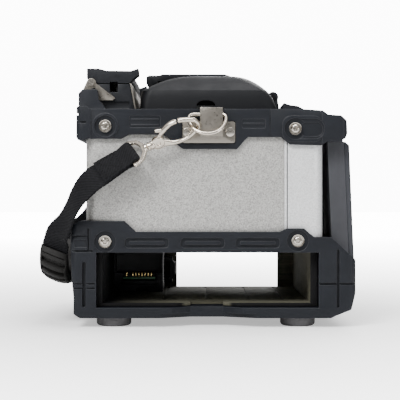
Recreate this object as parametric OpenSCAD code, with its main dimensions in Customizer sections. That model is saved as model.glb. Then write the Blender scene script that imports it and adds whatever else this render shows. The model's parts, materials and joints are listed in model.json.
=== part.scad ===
// Fiber fusion splicer with folded-down monitor, wind cover, tube heater and carry strap.
// X runs from the rear (heater, strap grip) to the operator's side (monitor), Y along the fibre,
// Z up from the feet. The near side is -Y. Millimetres.

/* [Body] */
// Width over the side bumpers
body_w = 140; // [138:1:142]
// Height of the underside above the table
under_z = 5.2; // [4.8:0.1:5.6]
// Height of the bumper frame's top edge
frame_top = 123.5; // [123:0.1:124]
// Thickness of the bumper skin that stands outside the metal shells
skin_t = 2.6; // [2.4:0.1:2.7]
// Thickness of the metal shells
shell_t = 2; // [1.6:0.1:2.2]
// Plan radius of the shells' vertical corners
shell_r = 6; // [5:0.5:7]
// Diameter of a rubber foot
foot_d = 20; // [18:0.5:21]

/* [Battery bay] */
// Inner rear wall of the bay
bay_x0 = -53.9; // [-54.5:0.1:-53.5]
// Inner front wall of the bay
bay_x1 = 65.3; // [64.8:0.1:65.6]
// Floor of the bay
bay_floor = 13; // [12.6:0.1:13.2]
// Ceiling of the bay
bay_top = 44; // [43.6:0.1:44.2]
// Lower edge of the side bar over the bay
bar_z = 42.3; // [42:0.1:42.6]
// Pitch of the battery contacts
contact_pitch = 2; // [1.8:0.1:2.1]

/* [Wind cover] */
// Height of the cover's top
cover_top = 146; // [145:0.25:146.5]
// Wall of the cover
cover_t = 2.2; // [1.8:0.1:2.4]
// Height of the fibre over the table
fibre_z = 128.3; // [128:0.1:128.6]
// Place of the fibre along X
fibre_x = 5.5; // [5:0.1:6]

/* [Heater] */
// Half length of the heater along the fibre
heater_y = 57; // [55:0.5:58]
// Height of the heater lid's top
heater_top = 147.8; // [147.4:0.1:148.4]

/* [Monitor] */
// Width of the monitor
mon_w = 121; // [118:0.5:121]
// Height of the monitor's slab
mon_h = 78; // [74:0.5:80]
// Thickness of the monitor's slab
mon_t = 12.4; // [12:0.1:12.6]
// Outward lean of the folded monitor in degrees
mon_lean = 2.4; // [2.2:0.1:2.6]

/* [Strap] */
// Width of the webbing
web_w = 16; // [15:0.5:16.5]
// Thickness of the webbing
web_t = 1.8; // [1.6:0.1:2]
// Diameter of the D-ring's wire
ring_d = 2.2; // [2:0.1:2.2]
// Thickness of the snap hook
hook_t = 2.8; // [2.6:0.1:3]

/* [Hidden] */
$fn = 48;
half_w = body_w / 2;
shell_y = half_w - skin_t - 0.4;
seam_x = 49.7;
rear_x = -68.3;
deck_z = 122;
screw_spots = [[-51.6, 113.8], [55.9, 112.3], [-51.7, 48.4], [57.3, 48.9]];
foot_spots = [[-47.6, 56], [58.2, 56], [-47.6, -56], [58.2, -56]];
wind_axis = [45.6, 133.4];
heater_axis = [-60.5, 139.3];
mon_axis = [79.4, 112.4];
bracket_x = 7;
ring_x = 6.2;
ring_axis = [71.6, 120.2];
ring_tilt = 35;
ring_half = 10.4;
ring_drop = 3.4;
ring_bend = 2.5;
hook_lean = 23.4;
hook_roll = 36;
pin_gap = 0.05;
key_rows = [-38, -26, 26, 38];
key_x = 56.4;
key_z = 124.6;
key_tilt = 10;
mon_back = -4.6;
mon_top = -7.2;
strap_x = 8.4;
hook_pin = [-21.4, -76.3, 104.1];
gate_r = 16.2;
eye_turn = -81;
eye_bar = -16.2;

// ---- shapes that repeat ----

// Extrudes an outline drawn in X and Z from y0 to y1
module across(y0, y1) {
    translate([0, y1, 0])
        rotate([90, 0, 0])
            linear_extrude(y1 - y0)
                children();
}

// A shape on the near side and its mirror image on the far side
module both_sides() {
    children();
    mirror([0, 1, 0])
        children();
}

// A block between two corners
module block(from, to) {
    translate(from)
        cube(to - from);
}

// A rectangle between two corners with rounded corners
module round_rect(x0, y0, x1, y1, r) {
    translate([x0 + r, y0 + r])
        offset(r, $fn = 24)
            square([x1 - x0 - 2 * r, y1 - y0 - 2 * r]);
}

// A cylinder along Y from y0 to y1 at a place in X and Z
module rod_y(at, r, y0, y1) {
    translate([at.x, y1, at.y])
        rotate([90, 0, 0])
            cylinder(r = r, h = y1 - y0);
}

// A cylinder along X from x0 to x1
module rod_x(x0, x1, y, z, r) {
    translate([x0, y, z])
        rotate([0, 90, 0])
            cylinder(r = r, h = x1 - x0);
}

// Softens the convex corners of an outline
module softened(r) {
    offset(r, $fn = 16)
        offset(delta = -r)
            children();
}

// ---- lower frame and battery bay ----

module lower_outline() {
    softened(0.8)
        polygon([
            [-66.4, 60.1], [-40.7, 60.1], [-34.2, 54], [47.2, 54], [51, 55.9], [60.8, 55.9],
            [63.9, 53.1], [67, 50.8], [76.3, 50.8], [90.2, 38.1], [90.2, 19.5], [88.4, 13.2],
            [87.5, 10], [79, 6.6], [76, under_z], [-66, under_z], [-69.5, 7.5], [-69.5, 17],
            [-70.7, 28], [-71.5, 50], [-70.7, 57.9], [-68.5, 58.4]
        ]);
}

// Plan of the lower frame: side walls, rear wall and the front wall with its corner blocks
module lower_plan() {
    difference() {
        round_rect(-71.6, -half_w, 90.4, half_w, 4);
        square_between([-57, -64.6], [69.2, 64.6]);
        square_between([76, -61.4], [95, 61.4]);
    }
}

module square_between(from, to) {
    translate(from)
        square(to - from);
}

// Plan of a notch that narrows from the mouth to its back
module finger_notch(rear, front, mouth, back) {
    polygon([[rear, mouth - 1], [rear, mouth], [-3.4, back], [15.2, back], [front, mouth],
        [front, mouth - 1]]);
}

module lower_frame() {
    color([0.2, 0.21, 0.23])
        difference() {
            union() {
                intersection() {
                    across(-half_w, half_w)
                        lower_outline();
                    linear_extrude(70)
                        lower_plan();
                }
                // floor plate, front bumper and the tie plate over the bay
                block([-60, -half_w + 0.6, under_z], [72, half_w - 0.6, 11]);
                across(-61, 61)
                    polygon([[75, under_z], [79, 6.6], [86, 9.4], [87.4, 13.2], [87.4, 19], [83, 23],
                        [75, 23]]);
                block([-58, -65, bay_top + 1.7], [70, 65, 50.6]);
            }
            // open bay, with a stepped rim, through both side walls
            block([-56.8, -half_w - 1, 11], [69.2, -62.9, bar_z]);
            block([-15, 60, 11.4], [56, half_w + 1, 40.2]);
            block([-57.1, -62.9, 11], [69.3, 65, bay_top + 1.7]);
            // the lip's notch is cut wider in its lower layer
            translate([0, 0, under_z - 1])
                linear_extrude(12)
                    finger_notch(-13.8, 26.3, -half_w, -61);
            translate([0, 0, under_z - 1])
                linear_extrude(3.4)
                    finger_notch(-20.8, 34.2, -half_w, -61);
            // recess in which the metal shells stand
            translate([0, 0, 50.6])
                linear_extrude(12)
                    offset(0.3)
                        shell_plan();
            lower_grooves();
            // foot seats, tripod insert seat and screw bosses
            for (p = foot_spots)
                translate([p.x, p.y, under_z - 1])
                    cylinder(d = foot_d + 0.6, h = 1.6);
            translate([fibre_x, 0, under_z - 1])
                cylinder(r = 6, h = 8);
            for (p = [screw_spots[2], screw_spots[3]])
                both_sides()
                    screw_seat(p);
        }
}

// Grooves of the rear pillar, the front corner blocks and the side bars
module lower_grooves() {
    both_sides() {
        across(-half_w - 1, -half_w + 2.6)
            round_rect(-64.6, 11.4, -62.5, 37, 1);
        for (z = [21.6, 24.2])
            block([-72, -half_w - 1, z], [-57.5, -half_w + 1.3, z + 1]);
        block([-72, -half_w - 1, 42.6], [-58.5, -half_w + 1.5, 43.8]);
        block([-61.6, -half_w - 1, 42.6], [-60.5, -half_w + 1.5, 56]);
        block([-69, -half_w - 1, 45.2], [-61.8, -half_w + 0.9, 49.6]);
        block([-72, -half_w - 1, 51.1], [-60.5, -half_w + 1.2, 52]);
        block([79.4, -half_w - 1, 11], [80.8, -half_w + 2, 44]);
        block([69.2, -half_w - 1, 24], [91, -half_w + 1.6, 25.3]);
        for (x = [-40.5, -8.9, 22.3])
            difference() {
                across(-half_w - 1, -half_w + 1.3)
                    round_rect(x, 44.9, x + 24.8, 50.6, 2);
                across(-half_w + 0.2, -half_w + 2)
                    round_rect(x + 2.4, 46.7, x + 22.4, 48.8, 0.9);
            }
    }
    // cross grooves run on round the front and rear faces
    for (z = [21.6, 24.2])
        block([-72, -58, z], [-69.6, 58, z + 1]);
    for (y = [-42, -14, 14, 42])
        block([-72, y - 9, 30], [-70.2, y + 9, 46]);
}

// Counterbore for a frame screw in the near side
module screw_seat(p) {
    rod_y(p, 6.1, -half_w - 1, -half_w + 1.4);
    rod_y(p, 2.05, -half_w - 1, -half_w + 9);
}

module bay_liner() {
    color([0.23, 0.23, 0.2])
        difference() {
            block([bay_x0 - 3, -62.6, 11.3], [bay_x1 + 3.6, 64.4, bay_top + 1.5]);
            block([bay_x0, -64, bay_floor], [bay_x1, 62.8, bay_top]);
            block([-13.8, 60, bay_floor], [54.7, 66, 39]);
            translate([0, 0, 5])
                linear_extrude(10)
                    finger_notch(-11, 23, -62.6, -56);
            // shallow ramp behind the finger notch
            translate([-3.5, -56, 9])
                rotate([14, 0, 0])
                    cube([18.8, 22, 12]);
            // slide grooves pressed in the floor
            for (x = [-20, 5, 30, 50])
                block([x, -40, bay_floor - 0.5], [x + 1.6, 60, bay_floor + 1]);
        }
}

module contact_block() {
    color([0.12, 0.13, 0.14])
        difference() {
            union() {
                block([bay_x0 + 0.1, 20, bay_floor + 0.1], [-21.9, 62.6, bay_top - 0.1]);
                block([-48.5, 18.2, 17.6], [-25.6, 21, 20.4]);
            }
            block([-52.4, 19, 25.2], [-22.9, 30, 37]);
            block([-47.6, 19, 20.4], [-26.4, 24.5, 25.3]);
            block([-39.9, 17, 12], [-31.5, 23, 15.2]);
            // pocket that the latch backs into
            block([-28.5, 49.4, 16], [-21, 61.6, 35]);
        }
}

module contact_board() {
    color([0.16, 0.42, 0.27])
        block([-47.2, 19.4, 21], [-26.8, 24.5, 22.6]);
}

module contact_blades() {
    color([0.85, 0.7, 0.35])
        for (i = [-1, 1, 2, 3, 4, 5, 6, 7])
            block([-43.4 + i * contact_pitch - 0.32, 20.4, 22.6],
                [-43.4 + i * contact_pitch + 0.32, 24.5, 25.2]);
}

module battery_latch() {
    color([0.1, 0.1, 0.11])
        difference() {
            union() {
                block([-24.6, 50, 17], [-16.6, 61, 34]);
                across(50, 61)
                    polygon([[-16.8, 19], [-14.6, 21.5], [-14.6, 29.5], [-16.8, 32]]);
            }
            block([-22.9, 48, 20], [-18.4, 63, 31]);
        }
}

module rubber_feet() {
    color([0.24, 0.25, 0.26])
        for (p = foot_spots)
            translate([p.x, p.y, 0])
                difference() {
                    rotate_extrude()
                        polygon([[0, 0], [foot_d / 2 - 1.6, 0], [foot_d / 2 - 0.5, 0.5],
                            [foot_d / 2, 1.6], [foot_d / 2, under_z + 0.4], [0, under_z + 0.4]]);
                    translate([0, 0, -1])
                        cylinder(r = 3.2, h = 3.6);
                }
}

module tripod_insert() {
    color([0.8, 0.66, 0.36])
        translate([fibre_x, 0, under_z])
            difference() {
                cylinder(r = 5.9, h = 5.9);
                translate([0, 0, -1])
                    cylinder(r = 2.6, h = 6);
            }
}

// ---- metal shells ----

module shell_plan() {
    difference() {
        round_rect(-63, -shell_y, 72, shell_y, shell_r);
        round_rect(-63 + shell_t, -shell_y + shell_t, 72 - shell_t, shell_y - shell_t,
            shell_r - shell_t);
    }
}

module rear_shell() {
    color([0.7, 0.7, 0.69])
        difference() {
            translate([0, 0, 51])
                linear_extrude(60.4)
                    intersection() {
                        shell_plan();
                        square_between([-70, -80], [seam_x, 80]);
                    }
            shell_screw_holes(-1);
        }
}

module front_shell() {
    color([0.8, 0.81, 0.81])
        difference() {
            translate([0, 0, 51])
                linear_extrude(60.4)
                    difference() {
                        shell_plan();
                        square_between([-70, -80], [seam_x + 0.15, 80]);
                    }
            // joggled edge along the seam, with a fine groove at its end
            both_sides() {
                block([seam_x - 1, -shell_y - 1, 50], [seam_x + 1.7, -shell_y + 0.5, 113]);
                block([seam_x + 1.6, -shell_y - 1, 50], [seam_x + 2.1, -shell_y + 1.1, 113]);
            }
            shell_screw_holes(1);
        }
}

// Clearance for the frame screws through the shells' walls
module shell_screw_holes(side) {
    for (p = screw_spots)
        if (sign(p.x) == side)
            both_sides()
                rod_y(p, 4, -half_w, -half_w + 8);
}

// ---- upper frame and deck ----

module upper_outline() {
    softened(0.8)
        polygon([
            [rear_x + 0.4, 125], [-62, 125], [-60.5, frame_top], [60.2, frame_top], [71.3, 122.7],
            [74.5, 120.4], [81.7, 119.9], [85.1, 117], [85.6, 109.9], [84.4, 107], [82, 105.4],
            [74, 105.1], [70.6, 102.9], [52.9, 103.4], [47.8, 107.6], [29, 107.6], [22.9, 100.8],
            [-7.6, 100.8], [-18.9, 109.1], [-38.1, 109.1], [-42.4, 106.7], [-61.8, 106.7],
            [-63.5, 105.8], [-67.2, 106], [rear_x, 108]
        ]);
}

module upper_frame() {
    color([0.2, 0.21, 0.23])
        difference() {
            union() {
                difference() {
                    intersection() {
                        across(-half_w, half_w)
                            upper_outline();
                        linear_extrude(130)
                            difference() {
                                round_rect(rear_x, -half_w, 85.8, half_w, 3.5);
                                square_between([74.4, -61.4], [95, 61.4]);
                            }
                    }
                    // room inside the ring, and the recess for the shells below it
                    block([-60.5, -60.5, 90], [64, 60.5, 130]);
                    translate([0, 0, 90])
                        linear_extrude(21.8)
                            round_rect(-63.4, -shell_y - 0.3, 72.4, shell_y + 0.3, shell_r);
                }
                both_sides()
                    rear_cheek();
                // ledge under the deck
                difference() {
                    block([-61, -61, 115], [65, 61, 118.8]);
                    block([-57.5, -57.5, 110], [61.5, 57.5, 122]);
                }
            }
            upper_reliefs();
            // clear arc for the monitor's barrel and the holes of its pins
            rod_y(mon_axis, 7.4, -61.4, 61.4);
            both_sides()
                rod_y(mon_axis, 2.5, -half_w + 2.4, -61);
            for (p = [screw_spots[0], screw_spots[1]])
                both_sides()
                    screw_seat(p);
            both_sides()
                bracket_pocket();
        }
}

// Raised cheek beside the heater, behind the ring's corner
module rear_cheek() {
    across(-68.6, -60.8)
        softened(0.7)
            polygon([[-66.8, 122], [-66.8, 132.4], [-64.6, 134.6], [-56.2, 134.6], [-55.6, 129],
                [-53, 126.2], [-51, 122]]);
}

module upper_reliefs() {
    both_sides() {
        // lowered skin between the corner blocks
        difference() {
            block([-59.8, -half_w - 1, 98], [71, -half_w + 0.6, 130]);
            rod_y(screw_spots[0], 7.4, -half_w - 2, -half_w + 1);
            across(-half_w - 2, -half_w + 1)
                round_rect(48.6, 104.8, 71.4, 119.6, 5);
        }
        // stepped and grooved rear corner
        block([-70, -half_w - 1, 120], [-66.4, -half_w + 12, 121.5]);
        block([-70, -half_w - 1, 115.4], [-62.4, -half_w + 1, 116.7]);
        // stadium pocket round the front screw, with its deep slot
        across(-half_w - 1, -half_w + 1.1)
            round_rect(52, 106.6, 72.3, 118, 5);
        across(-half_w - 1, -half_w + 1.9)
            round_rect(58.8, 108, 71.5, 116, 3.6);
        // ribbed panels and the seam line
        difference() {
            union() {
                across(-half_w - 1, -half_w + 1.1)
                    round_rect(-38, 113, -20.4, 119.6, 0.9);
                across(-half_w - 1, -half_w + 1.1)
                    round_rect(25.7, 112.6, 39.1, 117.8, 0.9);
            }
            for (z = [114.4, 117.6])
                block([-37, -half_w + 0.5, z - 0.35], [-21.4, -half_w + 2, z + 0.35]);
            block([26.6, -half_w + 0.5, 114.9], [38.2, -half_w + 2, 115.6]);
        }
        block([41.6, -half_w - 1, 106], [42, -half_w + 1.1, 124]);
    }
}

module bracket_pocket() {
    across(-half_w - 1, -half_w + 1.4)
        round_rect(bracket_x - 15.4, 103.7, bracket_x + 15.4, 116.8, 1.2);
    block([strap_x - 7.2, -half_w - 1, 106.6], [strap_x + 7.2, -half_w + 1.4, 126]);
    block([strap_x - 7.2, -half_w - 1, 122.2], [strap_x + 7.2, -half_w + 6, 126]);
    for (x = [bracket_x - 12, bracket_x + 12])
        rod_y([x, 110.4], 1.3, -half_w - 1, -half_w + 6);
}

module top_deck() {
    color([0.22, 0.23, 0.25])
        difference() {
            union() {
                block([-60.2, -60.2, 119], [63.7, 60.2, deck_z]);
                // collar round the splice well
                difference() {
                    block([-27, -47.6, 121], [37, 47.6, 124.2]);
                    block([-25, -45.6, 120], [35, 45.6, 126]);
                }
                // ears that carry the wind cover's pin
                for (y = [-34, 28])
                    wind_ear(y);
            }
            block([-24.8, -45.4, 117], [34.8, 45.4, 123]);
            rod_y(wind_axis, 1.55, -40, 40);
            // heater well and key console well
            block([-54, -50, 117], [-38.5, 50, 123]);
            block([49.2, -46, 117], [58, 46, 123]);
        }
}

// Hinge ear of the wind cover, 6 mm wide
module wind_ear(y) {
    across(y, y + 6)
        union() {
            translate(wind_axis)
                circle(r = 3.2);
            polygon([[42.9, 121], [42.9, 132], [48.4, 132], [50, 121]]);
        }
}

module frame_screws() {
    color([0.75, 0.74, 0.72])
        for (p = screw_spots)
            both_sides()
                difference() {
                    union() {
                        rod_y(p, 3.75, -half_w - 0.6, -half_w + 1.4);
                        rod_y(p, 3.1, -half_w - 1, -half_w + 1.4);
                        rod_y(p, 1.95, -half_w, -half_w + 8.5);
                    }
                    rod_y(p, 1.3, -half_w - 2, -half_w + 0.6);
                    for (a = [0, 60, 120])
                        translate([p.x, 0, p.y])
                            rotate([0, a, 0])
                                block([-1.75, -half_w - 2, -0.4], [1.75, -half_w + 0.6, 0.4]);
                }
}

// ---- tube heater ----

module heater_section(grow) {
    polygon([[-57.4 - grow, 124], [-57.4 - grow, 138.8], [-38.4 + grow, 138.8],
        [-35.6 + grow, 122.2], [-56 - grow, 122.2]]);
}

module heater_housing() {
    color([0.17, 0.18, 0.2])
        difference() {
            across(-heater_y, heater_y)
                heater_section(0);
            // trough for the tray, and the fibre ports at the ends
            block([-53.4, -heater_y + 4, 128], [-42.2, heater_y - 4, 142]);
            for (y = [-heater_y - 1, heater_y - 5])
                block([-50, y, 134.2], [-45.4, y + 6, 140]);
            both_sides()
                block([-55, -heater_y - 1, 124.6], [-38.6, -heater_y + 0.8, 128.6]);
            block([-53.4, -49, 121], [-42.2, 49, 125.4]);
        }
}

module heater_tray() {
    color([0.62, 0.6, 0.57])
        difference() {
            union() {
                block([-53.1, -heater_y + 4.4, 128.1], [-42.5, heater_y - 4.4, 138.4]);
            }
            across(-heater_y, heater_y)
                polygon([[-51.6, 142], [-51.2, 138], [-48.6, 131.6], [-46.9, 131.6], [-44.4, 138],
                    [-44, 142]]);
        }
}

module heater_brackets() {
    color([0.68, 0.67, 0.64])
        both_sides()
            difference() {
                union() {
                    across(-heater_y - 1.8, -heater_y - 0.6)
                        union() {
                            softened(0.5)
                                polygon([[-57.9, 136.2], [-57.6, 130.2], [-55.6, 129.3], [-48.2, 129.3],
                                    [-46.6, 130.6], [-57.6, 138.9], [-61, 137]]);
                            hull() {
                                translate(heater_axis)
                                    circle(r = 2.7, $fn = 24);
                                translate([-64, 134.4])
                                    circle(r = 1.6, $fn = 24);
                            }
                            polygon([[-65.6, 125.1], [-65.6, 134.4], [-62.4, 134.4], [-62.4, 125.1]]);
                        }
                    block([-65.6, -heater_y - 1.8, 125.1], [-61, -heater_y + 3, 126.2]);
                }
                rod_y(heater_axis, 1.55, -heater_y - 4, -heater_y + 2);
            }
}

module heater_front_plate() {
    color([0.74, 0.73, 0.7])
        across(-heater_y - 0.4, heater_y + 0.4)
            polygon([[-38.3, 139], [-37.5, 139], [-34.5, 122.4], [-35.3, 122.4]]);
}

module heater_pin() {
    color([0.72, 0.71, 0.69])
        union() {
            rod_y(heater_axis, 1.5, -heater_y - 2.4, heater_y + 2.4);
            both_sides()
                rod_y(heater_axis, 1.9, -heater_y - 3.2, -heater_y - 1.9);
        }
}

module heater_lid() {
    color([0.17, 0.18, 0.2])
        difference() {
            union() {
                across(-heater_y, heater_y)
                    softened(0.5)
                        polygon([[-57, 139.3], [-57, 140.6], [-60.4, 142.2], [-63.2, 141.6],
                            [-63.2, heater_top], [-56.4, heater_top], [-52, 146.6], [-37.8, 146.4],
                            [-37.6, 141], [-38.6, 139.3]]);
                // finger lips at the two ends of the front edge
                for (y = [-heater_y, heater_y - 12])
                    across(y, y + 12)
                        polygon([[-40, 146.4], [-37.8, 146.4], [-33.6, heater_top], [-33.4, 144.4],
                            [-37.6, 141], [-40, 141]]);
                for (y = [-heater_y, -6, heater_y - 12])
                    across(y, y + 12)
                        union() {
                            translate(heater_axis)
                                circle(r = 2.6);
                            polygon([[-62.6, 139.6], [-62.6, 142.4], [-57, 143], [-57, 139.4]]);
                        }
            }
            rod_y(heater_axis, 1.5 + pin_gap, -70, 70);
            block([-51.8, -heater_y + 4.6, 138], [-43.8, heater_y - 4.6, 142.6]);
            for (y = [-heater_y - 1, heater_y - 5])
                block([-50, y, 138], [-45.4, y + 6, 140.2]);
        }
}

// ---- wind cover ----

// One level of the dome: half width, rear and front ends
module dome_level(z, x0, x1, y, r, grow) {
    translate([0, 0, z])
        linear_extrude(0.2)
            round_rect(x0 - grow, -y - grow, x1 + grow, y + grow, r + grow);
}

module dome(grow, low, top) {
    hull() {
        dome_level(low, -33.2, 47.2, 50.2, 5, grow);
        dome_level(132, -32.9, 44.6, 49.8, 6, grow);
        dome_level(top - 10.2, -32.4, 41.4, 49.4, 7, grow);
        dome_level(top - 5.2, -24, 36.4, 44, 9, grow);
        dome_level(top - 1.8, -14.5, 29.6, 38.4, 9, grow);
        dome_level(top - 0.2, -6, 24, 33, 8, grow);
    }
}

module wind_cover() {
    color([0.2, 0.21, 0.23])
        difference() {
            union() {
                difference() {
                    dome(0, 124.6, cover_top);
                    dome(-cover_t, 122, cover_top - cover_t);
                }
                // hinge knuckles between the deck's ears
                for (y = [-27.6, 17.6])
                    across(y, y + 10)
                        union() {
                            translate(wind_axis)
                                circle(r = 3.2);
                            polygon([[36, 134.2], [36, 138], [42, 136.8], [46.4, 136.4], [44, 131]]);
                        }
            }
            rod_y(wind_axis, 1.5 + pin_gap, -70, 70);
            // notches for the deck's ears
            for (y = [-34.5, 27.5])
                block([39.6, y, 120], [52, y + 7, 137.4]);
            // clearance for the knuckle ends
            for (y = [-46, 34.4])
                block([47.4, y, 120], [52, y + 11.6, 138]);
            // fibre slots
            both_sides()
                across(-52, -46)
                    polygon([[fibre_x - 5.4, 120], [fibre_x - 5.4, 127.6], [fibre_x - 3, 130.2],
                        [fibre_x + 3, 130.2], [fibre_x + 5.4, 127.6], [fibre_x + 5.4, 120]]);
        }
}

module wind_cover_grip() {
    color([0.12, 0.125, 0.14])
        union() {
            across(-17, 17)
                polygon([[-24, 144.7], [-22.4, 148.4], [-21, 148.9], [17, 148.9], [19.4, 148.2],
                    [24.4, 146.2], [-15, 146.2], [-15, 144.7]]);
            across(-13, 13)
                softened(0.8)
                    polygon([[-31, 143.6], [-31, 147.6], [-29.4, 148.6], [-20, 148.6], [-20, 145.6],
                        [-26, 143.4], [-27.4, 141.6], [-29.6, 141.8]]);
        }
}

module wind_cover_pin() {
    color([0.72, 0.71, 0.69])
        rod_y(wind_axis, 1.5, -35, 35);
}

// Two sprung pads that hold the bare fibre down when the cover is shut
module fibre_pressers() {
    color([0.62, 0.63, 0.64])
        both_sides()
            union() {
                block([fibre_x - 4, -14.6, 129.2], [fibre_x + 4, -11, 133]);
                translate([fibre_x, -12.8, 132.9])
                    cylinder(r = 1.6, h = cover_top - cover_t - 132.9);
            }
}

// ---- splice unit ----

module splice_chassis() {
    color([0.5, 0.51, 0.52])
        difference() {
            block([-24.6, -45.2, 112], [34.6, 45.2, 122.4]);
            // wells for the two stages and the optics
            both_sides()
                block([fibre_x - 15.2, -44, 118.4], [fibre_x + 15.2, -16.2, 124]);
            for (side = [-1, 1])
                translate([fibre_x + side * 10.4, 0, 117])
                    cube([17, 11, 12], center = true);
            for (x = [-20, 30], y = [-40, 40])
                translate([x, y, 119])
                    cylinder(r = 1.7, h = 5);
        }
}

module v_grooves() {
    color([0.86, 0.85, 0.8])
        both_sides()
            across(-15.4, -3)
                polygon([[fibre_x - 5, 122.4], [fibre_x - 5, 126.8], [fibre_x - 4, 128.4],
                    [fibre_x - 0.35, 128.4], [fibre_x, 127.9], [fibre_x + 0.35, 128.4],
                    [fibre_x + 4, 128.4], [fibre_x + 5, 126.8], [fibre_x + 5, 122.4]]);
}

module electrode_holders() {
    color([0.15, 0.15, 0.16])
        for (s = [-1, 1])
            translate([fibre_x, 0, 0])
                mirror([s < 0 ? 1 : 0, 0, 0])
                    difference() {
                        block([14.4, -5, 122.4], [26, 5, 130.6]);
                        rod_x(10, 30, 0, fibre_z, 1.05);
                        translate([20, 0, 128])
                            cylinder(r = 1.5, h = 4);
                    }
}

module electrodes() {
    color([0.7, 0.7, 0.71])
        for (s = [-1, 1])
            translate([fibre_x, 0, 0])
                mirror([s < 0 ? 1 : 0, 0, 0])
                    union() {
                        rod_x(5, 24, 0, fibre_z, 1);
                        translate([0.8, 0, fibre_z])
                            rotate([0, 90, 0])
                                cylinder(r1 = 0.15, r2 = 1, h = 4.2);
                    }
}

// Two objective tubes aimed at the arc from below, each with its camera
module microscopes() {
    color([0.35, 0.36, 0.38])
        for (a = [-38, 38])
            translate([fibre_x, 0, fibre_z])
                rotate([0, 180 + a, 0])
                    union() {
                        translate([0, 0, 9.4])
                            cylinder(r = 2.6, h = 12);
                        translate([0, 0, 21])
                            cylinder(r = 4.6, h = 20);
                        translate([-7, -7, 40.6])
                            cube([14, 14, 9]);
                    }
}

// A stage that feeds one fibre, modelled on the near side
module stage() {
    difference() {
        union() {
            block([fibre_x - 14.8, -41.4, 118.7], [fibre_x + 14.8, -18.6, 124]);
            block([fibre_x - 9, -40, 123.8], [fibre_x + 12, -20, 127.9]);
            // ears of the clamp's hinge
            for (y = [-40, -24])
                across(y, y + 4)
                    hull() {
                        translate([fibre_x - 11.4, 128.4])
                            circle(r = 2.3, $fn = 24);
                        translate([fibre_x - 11.6, 124])
                            square([5, 1], center = true);
                    }
        }
        across(-42, -18)
            polygon([[fibre_x - 0.5, 128.5], [fibre_x, 127.2], [fibre_x + 0.5, 128.5]]);
        rod_y([fibre_x - 11.4, 128.4], 1.05, -46, -18);
    }
}

module near_stage() {
    color([0.55, 0.56, 0.58])
        stage();
}

module far_stage() {
    color([0.55, 0.56, 0.58])
        mirror([0, 1, 0])
            stage();
}

// Lid that clamps the coated fibre on its stage, with its own hinge pin
module clamp() {
    union() {
        rod_y([fibre_x - 11.4, 128.4], 1, -39.8, -20.2);
        across(-35.6, -24.4)
            polygon([[fibre_x - 12.8, 128.4], [fibre_x - 12.6, 130.6], [fibre_x - 9, 132.2],
                [fibre_x + 9, 132.2], [fibre_x + 12.6, 130.4], [fibre_x + 12.6, 128.8],
                [fibre_x + 4, 128.4], [fibre_x - 8.6, 128.4], [fibre_x - 10, 127.2],
                [fibre_x - 12.8, 127.4]]);
    }
}

module near_clamp() {
    color([0.16, 0.17, 0.18])
        clamp();
}

module far_clamp() {
    color([0.16, 0.17, 0.18])
        mirror([0, 1, 0])
            clamp();
}

module stage_motors() {
    color([0.45, 0.46, 0.48])
        both_sides()
            for (x = [-12, 23])
                union() {
                    rod_y([x, 105.6], 6, -54, -30);
                    block([x - 6.5, -33, 99.4], [x + 6.5, -30, 111.8]);
                }
}

// ---- key console ----

module key_console() {
    color([0.17, 0.175, 0.19])
        difference() {
            across(-52, 52)
                softened(0.5)
                    polygon([[50.4, deck_z], [50.4, 128.6], [54, 127.3], [59, 126.6], [62.6, 124.6],
                        [63.2, deck_z]]);
            for (y = key_rows)
                key_well(y, 4.3);
            key_well(0, 7.3);
            // room for the switches below the keys
            block([51.6, -46, 121], [61.4, 46, 124]);
        }
}

module key_well(y, r) {
    translate([key_x, y, key_z])
        rotate([0, key_tilt, 0])
            translate([0, 0, -3])
                cylinder(r = r, h = 9);
}

// A round key on the sloping console
module key(y, r) {
    translate([key_x, y, key_z])
        rotate([0, key_tilt, 0])
            rotate_extrude()
                polygon([[0, 0], [r, 0], [r, 2.7], [r - 0.6, 3.3], [r * 0.5, 3.1], [0, 3]]);
}

module power_key() {
    color([0.55, 0.2, 0.18])
        key(key_rows[0], 4);
}

module reset_key() {
    color([0.3, 0.31, 0.33])
        key(key_rows[1], 4);
}

module splice_key() {
    color([0.24, 0.45, 0.3])
        key(key_rows[2], 4);
}

module heat_key() {
    color([0.6, 0.35, 0.2])
        key(key_rows[3], 4);
}

module direction_pad() {
    color([0.3, 0.31, 0.33])
        difference() {
            key(0, 7);
            translate([key_x, 0, key_z])
                rotate([0, key_tilt, 0])
                    for (a = [0, 90, 180, 270])
                        rotate([0, 0, a])
                            translate([4.9, 0, 2.4])
                                cylinder(r = 0.9, h = 4);
        }
}

// ---- electronics ----

module main_board() {
    color([0.12, 0.35, 0.24])
        union() {
            block([-55, -58, 58.6], [64, 58, 60.2]);
            block([-20, -20, 60], [4, 4, 63]);
            block([22, -40, 60], [38, -26, 62.4]);
            block([20, 14, 60], [44, 40, 64]);
            block([-50, 26, 60], [-36, 44, 67]);
            for (x = [-50, 59], y = [-54, 54])
                translate([x, y, 50.7])
                    cylinder(r = 3, h = 8.2);
        }
}

module arc_board() {
    color([0.5, 0.36, 0.16])
        union() {
            block([-56, -34, 78], [-54.4, 34, 108]);
            block([-54.6, -28, 84], [-40, -8, 102]);
            block([-54.6, 4, 86], [-46, 20, 98]);
            block([-58, -34, 60.3], [-54.4, -26, 78.2]);
            block([-58, 26, 60.3], [-54.4, 34, 78.2]);
        }
}

// ---- monitor ----

// Places a shape drawn hanging straight down from the hinge axis at the monitor's lean
module leaned() {
    translate([mon_axis.x, 0, mon_axis.y])
        rotate([0, -mon_lean, 0])
            children();
}

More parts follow.
